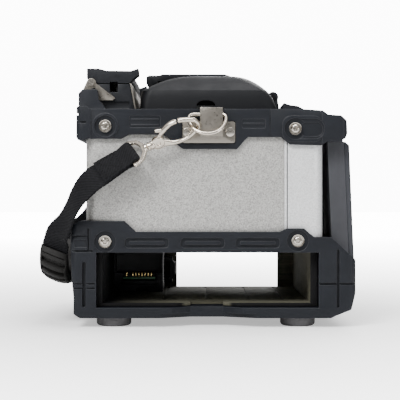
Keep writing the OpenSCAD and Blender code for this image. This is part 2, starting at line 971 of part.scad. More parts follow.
module monitor_shell() {
    color([0.32, 0.34, 0.36])
        leaned()
            difference() {
                union() {
                    block([mon_back, -mon_w / 2, mon_top - mon_h],
                        [mon_back + mon_t - 3, mon_w / 2, mon_top]);
                    for (y = [-mon_w / 2, mon_w / 2 - 24])
                        across(y, y + 24)
                            union() {
                                circle(r = 6);
                                polygon([[-4.2, 2], [4.6, 3], [mon_back + mon_t - 3.6, mon_top - 1],
                                    [mon_back, mon_top - 1], [-5.6, -2]]);
                            }
                }
                block([mon_back + 2, -mon_w / 2 + 2, mon_top - mon_h + 2],
                    [mon_back + mon_t, mon_w / 2 - 2, mon_top - 2]);
                rod_y([0, 0], 2.4 + pin_gap, -80, 80);
                // vent slots in the back
                for (y = [-24:6:24])
                    block([mon_back - 1, y, mon_top - 60], [mon_back + 1, y + 2, mon_top - 30]);
            }
}

module monitor_bezel() {
    color([0.15, 0.16, 0.17])
        leaned()
            difference() {
                across(-mon_w / 2, mon_w / 2)
                    polygon([[mon_back + mon_t - 2.9, mon_top - mon_h],
                        [mon_back + mon_t - 1.4, mon_top - mon_h], [mon_back + mon_t, mon_top - mon_h + 1.4],
                        [mon_back + mon_t, mon_top - 2.2], [mon_back + mon_t - 2.2, mon_top],
                        [mon_back + mon_t - 2.9, mon_top]]);
                block([mon_back, -50, mon_top - 69], [mon_back + mon_t + 1, 50, mon_top - 9]);
                block([mon_back + mon_t - 1.2, -53, mon_top - 72],
                    [mon_back + mon_t + 1, 53, mon_top - 6]);
            }
}

module monitor_glass() {
    color([0.08, 0.09, 0.1])
        leaned()
            union() {
                block([mon_back + mon_t - 1.1, -52.8, mon_top - 71.8],
                    [mon_back + mon_t - 0.2, 52.8, mon_top - 6.2]);
                block([mon_back + mon_t - 4, -49.6, mon_top - 68.6],
                    [mon_back + mon_t - 1, 49.6, mon_top - 9.4]);
            }
}

module monitor_pins() {
    color([0.6, 0.6, 0.6])
        both_sides()
            rod_y(mon_axis, 2.4, -half_w + 2.5, -48);
}

// ---- carry strap and its hardware ----

module strap_brackets() {
    color([0.66, 0.65, 0.62])
        both_sides()
            difference() {
                union() {
                    across(-half_w + 0.2, -half_w + 1.3)
                        round_rect(bracket_x - 14.9, 104.2, bracket_x + 14.9, 116.3, 1.2);
                    block([strap_x - 6.4, -half_w + 0.2, 110], [strap_x + 6.4, -half_w + 1.3, 123]);
                    // outer strap that holds the D-ring, bent over the frame's top edge
                    block([strap_x - 6.4, -half_w - 4.2, 108.6], [strap_x + 6.4, -half_w - 2.9, 124]);
                    block([strap_x - 6.4, -half_w - 4.2, 122.7], [strap_x + 6.4, -half_w + 5.6, 124]);
                    block([strap_x - 6.4, -half_w - 4.2, 107.6], [strap_x + 6.4, -half_w + 0.8, 108.9]);
                }
                for (x = [bracket_x - 12, bracket_x + 12])
                    rod_y([x, 110.4], 1.3, -half_w - 1, -half_w + 3);
            }
}

module bracket_screws() {
    color([0.74, 0.73, 0.7])
        both_sides()
            for (x = [bracket_x - 12, bracket_x + 12])
                union() {
                    rod_y([x, 110.4], 2.6, -half_w - 0.6, -half_w + 0.15);
                    rod_y([x, 110.4], 1.2, -half_w, -half_w + 2.5);
                }
}

// Centre line of the D-ring's wire: a straight bar with two small bends, and a half circle below it
ring_path = concat(
    [for (a = [90:-22.5:0]) [ring_half - ring_bend + ring_bend * cos(a), ring_bend * (sin(a) - 1)]],
    [for (a = [0:-11.25:-180]) [ring_half * cos(a), ring_half * sin(a) - ring_drop]],
    [for (a = [180:-22.5:90]) [ring_bend - ring_half + ring_bend * cos(a), ring_bend * (sin(a) - 1)]]
);

// Round section of the wire at one point of its closed centre line
function wire_ring(i, sides) =
    let (count = len(ring_path))
    let (c = ring_path[i])
    let (along = ring_path[(i + 1) % count] - ring_path[(i + count - 1) % count])
    let (out = [along.y, -along.x] / norm(along))
    [for (k = [0:sides - 1])
        let (a = 360 * k / sides)
        [c.x + out.x * cos(a) * ring_d / 2, c.y + out.y * cos(a) * ring_d / 2, sin(a) * ring_d / 2]];

// D-ring hanging from its straight bar, modelled on the near side
module d_ring() {
    count = len(ring_path);
    sides = 12;
    translate([ring_x, -ring_axis.x, ring_axis.y])
        rotate([90 - ring_tilt, 0, 0])
            polyhedron(
                points = [for (i = [0:count - 1]) each wire_ring(i, sides)],
                faces = [for (i = [0:count - 1], k = [0:sides - 1])
                    let (a = i * sides)
                    let (b = ((i + 1) % count) * sides)
                    let (next = (k + 1) % sides)
                    each [[a + k, b + next, b + k], [a + k, a + next, b + next]]],
                convexity = 4
            );
}

module near_d_ring() {
    color([0.78, 0.77, 0.74])
        d_ring();
}

module far_d_ring() {
    color([0.78, 0.77, 0.74])
        mirror([0, 1, 0])
            d_ring();
}

// The hook is drawn flat, with its long axis along +X from the gate's pin to the nose
module hook_placed() {
    translate(hook_pin)
        rotate([0, -hook_lean, 0])
            rotate([90 + hook_roll, 0, 0])
                children();
}

module hook_outer() {
    hull() {
        circle(r = 3.9, $fn = 32);
        translate([12.6, 1.9])
            circle(r = 7.8, $fn = 32);
        translate([20.4, 1.4])
            circle(r = 5.3, $fn = 32);
    }
}

module hook_inner() {
    hull() {
        translate([7.4, 1.3])
            circle(r = 2.3, $fn = 32);
        translate([12.6, 1.7])
            circle(r = 5.4, $fn = 32);
        translate([20.2, 1.2])
            circle(r = 3.2, $fn = 32);
    }
}

// The stretch of the upper arm that the gate takes, larger by a gap; its far end is an arc
// round the gate's pin
module gate_zone(gap) {
    intersection() {
        polygon([[-1 - gap, 4.6 - gap], [3.6, 2.4 - gap], [18, 2.6 - gap], [18, 12], [-1 - gap, 12]]);
        circle(r = gate_r + gap, $fn = 64);
    }
}

module hook() {
    hook_placed()
        difference() {
            union() {
                translate([0, 0, -hook_t / 2])
                    linear_extrude(hook_t)
                        difference() {
                            hook_outer();
                            hook_inner();
                            for (a = [0:-6:-18])
                                rotate([0, 0, a])
                                    gate_zone(0.35);
                        }
                // socket for the swivel's stem
                translate([-6.4, 0, 0])
                    rotate([0, 90, 0])
                        cylinder(r = 2.6, h = 4);
                cylinder(r = 0.8, h = hook_t, center = true);
            }
            // slot for the gate's lug, with the pin left standing in it
            difference() {
                translate([-4.2, -2.6, -1])
                    cube([10.4, 12, 2]);
                cylinder(r = 0.8, h = 10, center = true);
                translate([-7, -6, -2])
                    cube([3.8, 12, 4]);
            }
            translate([-6.5, 0, 0])
                rotate([0, 90, 0])
                    cylinder(r = 1.3, h = 3.3);
        }
}

module near_hook() {
    color([0.8, 0.79, 0.76])
        hook();
}

module far_hook() {
    color([0.8, 0.79, 0.76])
        mirror([0, 1, 0])
            hook();
}

module gate() {
    hook_placed()
        difference() {
            union() {
                translate([0, 0, -0.8])
                    cylinder(r = 2.3, h = 1.6);
                translate([0, 0, -0.8])
                    linear_extrude(1.6)
                        polygon([[-1.6, 1.6], [0.4, 5.2], [7, 7.6], [7, 4.4], [2, 0.8]]);
                translate([0, 0, -hook_t / 2 + 0.3])
                    linear_extrude(hook_t - 0.6)
                        difference() {
                            intersection() {
                                hook_outer();
                                gate_zone(0);
                            }
                            hook_inner();
                            circle(r = 4.3, $fn = 32);
                        }
                // thumb lever and the knurled catch
                translate([0, 0, -1.3])
                    linear_extrude(2.6)
                        polygon([[2.4, 4.6], [-0.6, 7.4], [1, 9.2], [4.6, 9.4], [9, 8.6], [5, 5.6]]);
                translate([0, 0, -1.7])
                    linear_extrude(3.4)
                        polygon([[10.6, 7.8], [10.4, 9.4], [12.8, 9.5], [13.6, 7.6]]);
            }
            cylinder(r = 0.8 + pin_gap, h = 8, center = true);
        }
}

module near_gate() {
    color([0.76, 0.75, 0.72])
        gate();
}

module far_gate() {
    color([0.76, 0.75, 0.72])
        mirror([0, 1, 0])
            gate();
}

// Swivel eye: a stem in the hook's socket and a flat ring for the webbing, turned out of the
// hook's plane
module eye() {
    hook_placed()
        rotate([eye_turn, 0, 0])
            union() {
                translate([-7.6, 0, 0])
                    rotate([0, 90, 0])
                        cylinder(r = 1.25, h = 4.2);
                translate([-8.4, 0, 0])
                    rotate([0, 90, 0])
                        cylinder(r = 2.2, h = 1.6);
                translate([0, 0, -1])
                    linear_extrude(2)
                        difference() {
                            eye_outline(1.1);
                            eye_outline(-1.1);
                        }
            }
}

// Centre line of the eye's ring, grown or shrunk
module eye_outline(grow) {
    offset(grow, $fn = 24)
        polygon([[-9, -3], [-11.4, -7.4], [eye_bar, -web_w / 2 - 1.5], [eye_bar, web_w / 2 + 1.5],
            [-11.4, 7.4], [-9, 3]]);
}

module near_eye() {
    color([0.8, 0.79, 0.76])
        eye();
}

module far_eye() {
    color([0.8, 0.79, 0.76])
        mirror([0, 1, 0])
            eye();
}

// Stations of the near webbing: centre point, then the direction of its width from the upper to
// the lower selvage
web_stations = [
    [[-37.8, -76.3, 97], [0.28, -0.7, -0.65]],
    [[-42, -77, 94.2], [0.3, -0.66, -0.66]],
    [[-48, -77.4, 90.4], [0.34, -0.58, -0.7]],
    [[-54.6, -77.4, 86], [0.4, -0.5, -0.74]],
    [[-61, -76.8, 80.6], [0.42, -0.52, -0.74]],
    [[-66.4, -75.2, 74], [0.42, -0.68, -0.6]],
    [[-70.6, -72.6, 66.6], [0.42, -0.8, -0.42]],
    [[-74.4, -69, 59], [0.55, -0.75, -0.36]],
    [[-79, -64.6, 52.4], [0.78, -0.5, -0.37]],
    [[-80.4, -60.8, 47.4], [0.9, -0.2, -0.38]],
    [[-81.6, -57.6, 43], [0.93, 0, -0.37]]
];

function unit(v) = v / norm(v);

// Corner points of the strap's section at one station
function web_ring(i, last) =
    let (a = web_stations[max(i - 1, 0)][0])
    let (b = web_stations[min(i + 1, last)][0])
    let (c = web_stations[i][0])
    let (q = unit(web_stations[i][1]))
    let (n = unit(cross(b - a, q)))
    let (w = (web_w / 2) * q)
    let (t = (web_t / 2) * n)
    [c - w - t, c + w - t, c + w + t, c - w + t];

module webbing() {
    last = len(web_stations) - 1;
    polyhedron(
        points = [for (i = [0:last]) each web_ring(i, last)],
        faces = concat(
            [[0, 1, 2, 3]],
            [for (i = [0:last - 1], k = [0:3])
                let (a = i * 4 + k)
                let (b = i * 4 + (k + 1) % 4)
                each [[a, a + 4, b + 4], [a, b + 4, b]]],
            [[last * 4 + 3, last * 4 + 2, last * 4 + 1, last * 4]]
        ),
        convexity = 4
    );
}

module near_webbing() {
    color([0.09, 0.1, 0.11])
        webbing();
}

module far_webbing() {
    color([0.09, 0.1, 0.11])
        mirror([0, 1, 0])
            webbing();
}

// Moulded grip across the rear. It hangs in a U from one webbing to the other, and its width
// stays along one direction. Stations of the near half: centre point, half width, half thickness
grip_width_dir = unit([0.93, 0, -0.37]);
grip_half_path = [
    [[-81.6, -57.9, 42.1], 8.2, 2.4],
    [[-81.8, -57.8, 39.4], 8.8, 3.6],
    [[-82, -56.2, 35.4], 8.8, 4.6],
    [[-82, -52.6, 31.8], 8.8, 5],
    [[-81.9, -46.8, 29.4], 8.8, 5],
    [[-81.7, -38, 28.4], 8.8, 5],
    [[-81.5, -20, 28], 8.8, 5]
];
// The whole path: near half, middle and the mirrored far half
grip_path = concat(grip_half_path, [[[-81.5, 0, 28], 8.8, 5]],
    [for (i = [len(grip_half_path) - 1:-1:0])
        let (s = grip_half_path[i])
        [[s[0].x, -s[0].y, s[0].z], s[1], s[2]]]);

function grip_ring(i) =
    let (last = len(grip_path) - 1)
    let (s = grip_path[i])
    let (along = unit(grip_path[min(i + 1, last)][0] - grip_path[max(i - 1, 0)][0]))
    let (n = unit(cross(along, grip_width_dir)))
    [for (k = [[-1, -0.35], [-0.64, -1], [0.64, -1], [1, -0.35], [1, 0.35], [0.64, 1], [-0.64, 1],
            [-1, 0.35]])
        s[0] + k.x * s[1] * grip_width_dir + k.y * s[2] * n];

module strap_grip() {
    last = len(grip_path) - 1;
    color([0.2, 0.2, 0.2])
        polyhedron(
            points = [for (i = [0:last]) each grip_ring(i)],
            faces = concat(
                [[for (k = [0:7]) k]],
                [for (i = [0:last - 1], k = [0:7])
                    let (a = i * 8 + k)
                    let (b = i * 8 + (k + 1) % 8)
                    [a, a + 8, b + 8, b]],
                [[for (k = [7:-1:0]) last * 8 + k]]
            ),
            convexity = 4
        );
}

lower_frame();
bay_liner();
rear_shell();
front_shell();
upper_frame();
top_deck();
rubber_feet();
frame_screws();
tripod_insert();
strap_brackets();
bracket_screws();
contact_block();
contact_board();
contact_blades();
battery_latch();
heater_housing();
heater_brackets();
heater_front_plate();
heater_tray();
heater_pin();
heater_lid();
wind_cover_pin();
wind_cover();
wind_cover_grip();
fibre_pressers();
splice_chassis();
v_grooves();
electrode_holders();
electrodes();
microscopes();
near_stage();
far_stage();
near_clamp();
far_clamp();
stage_motors();
key_console();
power_key();
reset_key();
splice_key();
heat_key();
direction_pad();
main_board();
arc_board();
monitor_pins();
monitor_shell();
monitor_bezel();
monitor_glass();
near_d_ring();
far_d_ring();
near_hook();
far_hook();
near_gate();
far_gate();
near_eye();
far_eye();
near_webbing();
far_webbing();
strap_grip();
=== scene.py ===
"""Looks of the fusion splicer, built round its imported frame. Metres: X runs from the strap's grip to
the monitor, Y along the fibre away from the camera, Z up from the feet."""

import json
import math

import bmesh
import bpy
from mathutils import Matrix, Vector


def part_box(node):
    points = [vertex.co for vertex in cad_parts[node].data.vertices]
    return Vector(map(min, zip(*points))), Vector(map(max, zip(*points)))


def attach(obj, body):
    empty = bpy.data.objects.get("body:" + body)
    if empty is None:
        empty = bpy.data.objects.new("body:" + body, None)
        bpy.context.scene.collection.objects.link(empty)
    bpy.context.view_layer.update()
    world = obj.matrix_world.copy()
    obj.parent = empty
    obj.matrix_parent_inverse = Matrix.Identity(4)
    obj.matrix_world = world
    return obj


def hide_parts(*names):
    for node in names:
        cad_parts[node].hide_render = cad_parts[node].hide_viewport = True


MM = 0.001
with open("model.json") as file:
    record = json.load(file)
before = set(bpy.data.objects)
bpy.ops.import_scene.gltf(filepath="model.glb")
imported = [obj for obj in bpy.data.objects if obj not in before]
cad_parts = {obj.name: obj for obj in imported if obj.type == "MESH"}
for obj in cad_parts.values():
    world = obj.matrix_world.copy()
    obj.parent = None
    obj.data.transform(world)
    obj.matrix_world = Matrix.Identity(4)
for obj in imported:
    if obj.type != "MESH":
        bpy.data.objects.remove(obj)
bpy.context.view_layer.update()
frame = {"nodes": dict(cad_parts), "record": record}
body_of = {n: b for b, names in frame["record"]["behaviour"]["bodies"].items() for n in names}
slot_of = {s["node"]: s["material_slot"] for s in frame["record"]["subparts"]}


def placed(name, data):
    """A new object in the scene."""
    thing = bpy.data.objects.new(name, data)
    bpy.context.scene.collection.objects.link(thing)
    return thing


# ---- camera, floor and light ----

CAMERA_PLACE = (0.002, -0.71, 0.072)
CAMERA_LENS = 102
# name, place, point it looks at, size and watts of each light
LIGHTS = [
    ("key", (-0.4, -0.75, 0.8), (0, 0, 0.06), (0.42, 0.36), 15),
    ("fill", (0.75, -0.8, 0.3), (0, 0, 0.06), (0.16, 0.5), 2.2),
    ("top", (0.1, -0.1, 0.9), (0, 0, 0.1), (0.4, 0.3), 4),
    ("back", (0.3, 0.9, 0.6), (0, 0, 0.06), (0.5, 0.5), 7),
]
# strength of the sky at the horizon, overhead, and of the white that only the camera sees
SKY_LOW = 0.16
SKY_HIGH = 0.95
SWEEP = 12.0
FLOOR_HALF = 6


def add_camera():
    """Level with the middle of the body, square on to its near side."""
    data = bpy.data.cameras.new("camera")
    data.sensor_width = 36
    data.lens = CAMERA_LENS
    data.clip_start = 0.01
    camera = placed("camera", data)
    camera.location = CAMERA_PLACE
    camera.rotation_euler = (math.pi / 2, 0, 0)
    bpy.context.scene.camera = camera


def add_light(name, place, aim, size, watts):
    data = bpy.data.lights.new(name, "AREA")
    data.shape = "RECTANGLE"
    data.size, data.size_y = size
    data.energy = watts
    light = placed(name, data)
    light.location = place
    light.rotation_euler = (Vector(aim) - Vector(place)).to_track_quat("-Z", "Y").to_euler()


def add_sky():
    """The camera sees a white sweep; the object is lit by a softer sky that darkens to the horizon."""
    world = bpy.data.worlds.new("studio")
    bpy.context.scene.world = world
    world.use_nodes = True
    tree = world.node_tree
    background = tree.nodes["Background"]
    background.inputs["Color"].default_value = (1, 1, 1, 1)
    direction = tree.nodes.new("ShaderNodeTexCoord")
    split = tree.nodes.new("ShaderNodeSeparateXYZ")
    tree.links.new(direction.outputs["Generated"], split.inputs["Vector"])
    sky = ranged(tree, split.outputs["Z"], SKY_LOW, SKY_HIGH, 0.0, 0.8)
    seen = tree.nodes.new("ShaderNodeLightPath")
    white = ranged(tree, seen.outputs["Is Camera Ray"], 0.0, SWEEP, 0.0, 1.0)
    tree.links.new(maths(tree, "ADD", sky, white), background.inputs["Strength"])


def add_studio():
    add_sky()
    for light in LIGHTS:
        add_light(*light)
    mesh = bpy.data.meshes.new("floor")
    corners = [(x * FLOOR_HALF, y * FLOOR_HALF, 0) for x, y in ((-1, -1), (1, -1), (1, 1), (-1, 1))]
    mesh.from_pydata(corners, [], [(0, 1, 2, 3)])
    floor = placed("floor", mesh)
    floor.data.materials.append(floor_paper())


def floor_paper():
    """White paper that grows brighter away from the object, so that it meets the sweep unseen."""
    material = finish("floor_white", (0.92, 0.92, 0.92), 0.7, mottle=0.01, mottle_mm=60, bump=0.02,
                      bump_mm=2)
    tree, shader = nodes_of(material)
    coordinates = tree.nodes.new("ShaderNodeTexCoord")
    length = tree.nodes.new("ShaderNodeVectorMath")
    length.operation = "LENGTH"
    tree.links.new(coordinates.outputs["Object"], length.inputs[0])
    seen = tree.nodes.new("ShaderNodeLightPath")
    glow = ranged(tree, length.outputs["Value"], 0.55, 14.0, 0.1, 1.5)
    glow_seen = maths(tree, "MULTIPLY", glow, seen.outputs["Is Camera Ray"])
    shader.inputs["Emission Color"].default_value = (1, 1, 1, 1)
    tree.links.new(glow_seen, shader.inputs["Emission Strength"])
    return material


# ---- materials ----

# radius in mm and colour of the painted highlight along the edges of the mouldings
EDGE_HIGHLIGHTS = {
    "bumper_plastic": (0.5, (0.04, 0.042, 0.048)),
    "heater_plastic": (0.5, (0.04, 0.042, 0.048)),
    "deck_plastic": (0.5, (0.04, 0.042, 0.048)),
    "connector_plastic": (0.5, (0.04, 0.042, 0.048)),
    "monitor_plastic": (0.6, (0.09, 0.094, 0.105)),
}
# the fine groove in the front shell, where painted shade darkens the paint, in mm: its middle from the
# shell's rear edge, and half its width
GROOVE_AT = 1.7
GROOVE_HALF = 0.22
# where the bay's black turns to olive, in metres: along Y at its mouth, along X before the contacts
BAY_MOUTH = (-0.0605, -0.0585)
BAY_REAR = (-0.05, -0.01)


def nodes_of(material):
    tree = material.node_tree
    return tree, tree.nodes["Principled BSDF"]


def own_axes(tree):
    """X, Y and Z of a point in the object's own coordinates."""
    coordinates = tree.nodes.new("ShaderNodeTexCoord")
    split = tree.nodes.new("ShaderNodeSeparateXYZ")
    tree.links.new(coordinates.outputs["Object"], split.inputs["Vector"])
    return split.outputs


def maths(tree, operation, first, second=None):
    """One step of arithmetic on two sockets, or on one alone."""
    node = tree.nodes.new("ShaderNodeMath")
    node.operation = operation
    tree.links.new(first, node.inputs[0])
    if second is not None:
        tree.links.new(second, node.inputs[1])
    return node.outputs["Value"]


def noise(tree, size_mm, detail=3.0, roughness=0.5):
    """Noise whose features are about size_mm across, in the object's own coordinates."""
    coordinates = tree.nodes.new("ShaderNodeTexCoord")
    texture = tree.nodes.new("ShaderNodeTexNoise")
    texture.inputs["Scale"].default_value = 1 / (size_mm * MM)
    texture.inputs["Detail"].default_value = detail
    texture.inputs["Roughness"].default_value = roughness
    tree.links.new(coordinates.outputs["Object"], texture.inputs["Vector"])
    return texture.outputs["Fac"]


def ranged(tree, value, low, high, from_low=0.3, from_high=0.7):
    node = tree.nodes.new("ShaderNodeMapRange")
    node.inputs["From Min"].default_value = from_low
    node.inputs["From Max"].default_value = from_high
    node.inputs["To Min"].default_value = low
    node.inputs["To Max"].default_value = high
    tree.links.new(value, node.inputs["Value"])
    return node.outputs["Result"]


def blended(tree, factor, dark, light):
    node = tree.nodes.new("ShaderNodeMix")
    node.data_type = "RGBA"
    node.inputs["A"].default_value = (*dark, 1)
    node.inputs["B"].default_value = (*light, 1)
    tree.links.new(factor, node.inputs["Factor"])
    return node.outputs["Result"]


def bumped(tree, height, strength, depth_mm, normal=None):
    node = tree.nodes.new("ShaderNodeBump")
    node.inputs["Strength"].default_value = strength
    node.inputs["Distance"].default_value = depth_mm * MM
    tree.links.new(height, node.inputs["Height"])
    if normal is not None:
        tree.links.new(normal, node.inputs["Normal"])
    return node.outputs["Normal"]


def finish(name, colour, roughness, metallic=0.0, mottle=0.08, mottle_mm=9.0, bump=0.15, bump_mm=0.5,
           spread=0.06, coat=0.0, sheen=0.0, specular=0.5):
    """A surface with cloudy colour, uneven gloss and a fine grain."""
    material = bpy.data.materials.new(name)
    material.use_nodes = True
    material.diffuse_color = (*colour, 1)
    tree, shader = nodes_of(material)
    shader.inputs["Metallic"].default_value = metallic
    shader.inputs["Coat Weight"].default_value = coat
    shader.inputs["Coat Roughness"].default_value = 0.25
    shader.inputs["Sheen Weight"].default_value = sheen
    shader.inputs["Specular IOR Level"].default_value = specular
    cloud = ranged(tree, noise(tree, mottle_mm), 0, 1)
    dark = tuple(c * (1 - mottle) for c in colour)
    light = tuple(c * (1 + mottle) for c in colour)
    tree.links.new(blended(tree, cloud, dark, light), shader.inputs["Base Color"])
    gloss = ranged(tree, noise(tree, mottle_mm * 0.4), roughness - spread, roughness + spread)
    tree.links.new(gloss, shader.inputs["Roughness"])
    grain = noise(tree, bump_mm, 2)
    tree.links.new(bumped(tree, grain, bump, 0.08), shader.inputs["Normal"])
    return material


def flake_paint(name, colour, roughness, sparkle, flake_mm):
    """Metallic paint: single flakes that are lighter or darker, over a soft orange peel."""
    material = finish(name, colour, roughness, metallic=0.25, mottle=0.03, mottle_mm=30, bump=0.2,
                      bump_mm=0.9, spread=0.04)
    tree, shader = nodes_of(material)
    coordinates = tree.nodes.new("ShaderNodeTexCoord")
    factors = []
    for size in (flake_mm, flake_mm * 1.5):
        cells = tree.nodes.new("ShaderNodeTexVoronoi")
        cells.inputs["Scale"].default_value = 1 / (size * MM)
        tree.links.new(coordinates.outputs["Object"], cells.inputs["Vector"])
        grey = tree.nodes.new("ShaderNodeRGBToBW")
        tree.links.new(cells.outputs["Color"], grey.inputs["Color"])
        factors.append(grey.outputs["Val"])
    spots = ranged(tree, maths(tree, "ADD", *factors), 0, 1, 0.5, 1.5)
    dark = tuple(c * (1 - sparkle) for c in colour)
    light = tuple(min(1, c * (1 + sparkle)) for c in colour)
    tree.links.new(blended(tree, spots, dark, light), shader.inputs["Base Color"])
    return material


def paint_edge_highlights(material, radius_mm, edge):
    """Paints a moulding's edges lighter as a painted highlight, and rounds their shading, within
    radius_mm of each edge.
    """
    tree, shader = nodes_of(material)
    rounded = tree.nodes.new("ShaderNodeBevel")
    rounded.samples = 6
    rounded.inputs["Radius"].default_value = radius_mm * MM
    surface = tree.nodes.new("ShaderNodeNewGeometry")
    same = tree.nodes.new("ShaderNodeVectorMath")
    same.operation = "DOT_PRODUCT"
    tree.links.new(rounded.outputs["Normal"], same.inputs[0])
    tree.links.new(surface.outputs["Normal"], same.inputs[1])
    # within the radius of an edge the colour turns to the lighter edge colour: a painted highlight
    highlight_mask = ranged(tree, same.outputs["Value"], 1, 0, 0.8, 0.99)
    plain = shader.inputs["Base Color"].links[0].from_socket
    mixed = blended(tree, highlight_mask, edge, edge)
    tree.links.new(plain, mixed.node.inputs["A"])
    tree.links.new(mixed, shader.inputs["Base Color"])
    grain = shader.inputs["Normal"].links[0].from_node
    tree.links.new(rounded.outputs["Normal"], grain.inputs["Normal"])


def paint_with_groove_shade(name, colour, roughness, sparkle, flake_mm):
    """Flake paint, painted near black in the fine groove along the shells' seam as painted shade in the
    recess.
    """
    material = flake_paint(name, colour, roughness, sparkle, flake_mm)
    tree, shader = nodes_of(material)
    offset = maths(tree, "SUBTRACT", own_axes(tree)["X"])
    offset.node.inputs[1].default_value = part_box("front_shell")[0].x + GROOVE_AT * MM
    distance = maths(tree, "ABSOLUTE", offset)
    # within the groove the paint turns near black: painted shade in the recess
    groove = ranged(tree, distance, 0, 1, GROOVE_HALF * MM, (GROOVE_HALF + 0.1) * MM)
    paint = shader.inputs["Base Color"].links[0].from_socket
    mixed = blended(tree, groove, (0.02, 0.02, 0.022), colour)
    tree.links.new(paint, mixed.node.inputs["B"])
    tree.links.new(mixed, shader.inputs["Base Color"])
    return material


def bay_plastic(name, floor, wall):
    """Olive brown inside the bay, and black round its mouth and behind the contacts."""
    material = finish(name, floor, 0.7, mottle=0.1, mottle_mm=14, bump=0.3, bump_mm=0.4, specular=0.15)
    tree, shader = nodes_of(material)
    axes = own_axes(tree)
    past_mouth = ranged(tree, axes["Y"], 0, 1, *BAY_MOUTH)
    past_rear = ranged(tree, axes["X"], 0, 1, *BAY_REAR)
    coordinates = tree.nodes.new("ShaderNodeTexCoord")
    stretch = tree.nodes.new("ShaderNodeMapping")
    stretch.inputs["Scale"].default_value = (0.06, 1, 1)
    streaks = tree.nodes.new("ShaderNodeTexNoise")
    streaks.inputs["Scale"].default_value = 900
    tree.links.new(coordinates.outputs["Object"], stretch.inputs["Vector"])
    tree.links.new(stretch.outputs["Vector"], streaks.inputs["Vector"])
    light = tuple(c * 1.5 for c in floor)
    grain = blended(tree, ranged(tree, streaks.outputs["Fac"], 0, 1), floor, light)
    zones = blended(tree, maths(tree, "MULTIPLY", past_mouth, past_rear), wall, light)
    tree.links.new(grain, zones.node.inputs["B"])
    tree.links.new(zones, shader.inputs["Base Color"])
    return material


def cover_plastic(name, skirt, crown):
    """Matt moulding whose crown is painted lighter than the skirt below its shoulder line: painted light
    on the top, painted shade on the skirt.
    """
    material = finish(name, crown, 0.55, mottle=0.05, mottle_mm=20, bump=0.2, bump_mm=0.35, specular=0.22)
    tree, shader = nodes_of(material)
    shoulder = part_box("wind_cover")[1].z - CROWN_RISE * MM
    # above the shoulder line the lighter colour is painted light; below it the darker colour is painted
    # shade
    height = ranged(tree, own_axes(tree)["Z"], 0, 1, shoulder - 0.4 * MM, shoulder + 0.4 * MM)
    tree.links.new(blended(tree, height, skirt, crown), shader.inputs["Base Color"])
    return material


def woven(name, colour, pick_mm, rough):
    """Ribbed webbing weave from the piece's own UV map, which is in millimetres."""
    material = finish(name, colour, rough, mottle=0.2, mottle_mm=4, bump=0.1, bump_mm=0.3, sheen=0.01,
                      specular=0.15)
    tree, shader = nodes_of(material)
    shader.inputs["Sheen Roughness"].default_value = 0.5
    uv = tree.nodes.new("ShaderNodeUVMap")
    wave = tree.nodes.new("ShaderNodeTexWave")
    wave.wave_type = "BANDS"
    wave.bands_direction = "DIAGONAL"
    wave.inputs["Scale"].default_value = 0.31 / pick_mm
    wave.inputs["Distortion"].default_value = 0.6
    wave.inputs["Detail"].default_value = 1
    tree.links.new(uv.outputs["UV"], wave.inputs["Vector"])
    fine = noise(tree, 0.35, 2)
    rib = bumped(tree, wave.outputs["Fac"], 0.7, 0.2)
    tree.links.new(bumped(tree, fine, 0.3, 0.1, rib), shader.inputs["Normal"])
    shade = ranged(tree, wave.outputs["Fac"], 0, 1, 0, 1)
    dark = tuple(c * 0.55 for c in colour)
    light = tuple(c * 1.6 for c in colour)
    tree.links.new(blended(tree, shade, dark, light), shader.inputs["Base Color"])
    return material


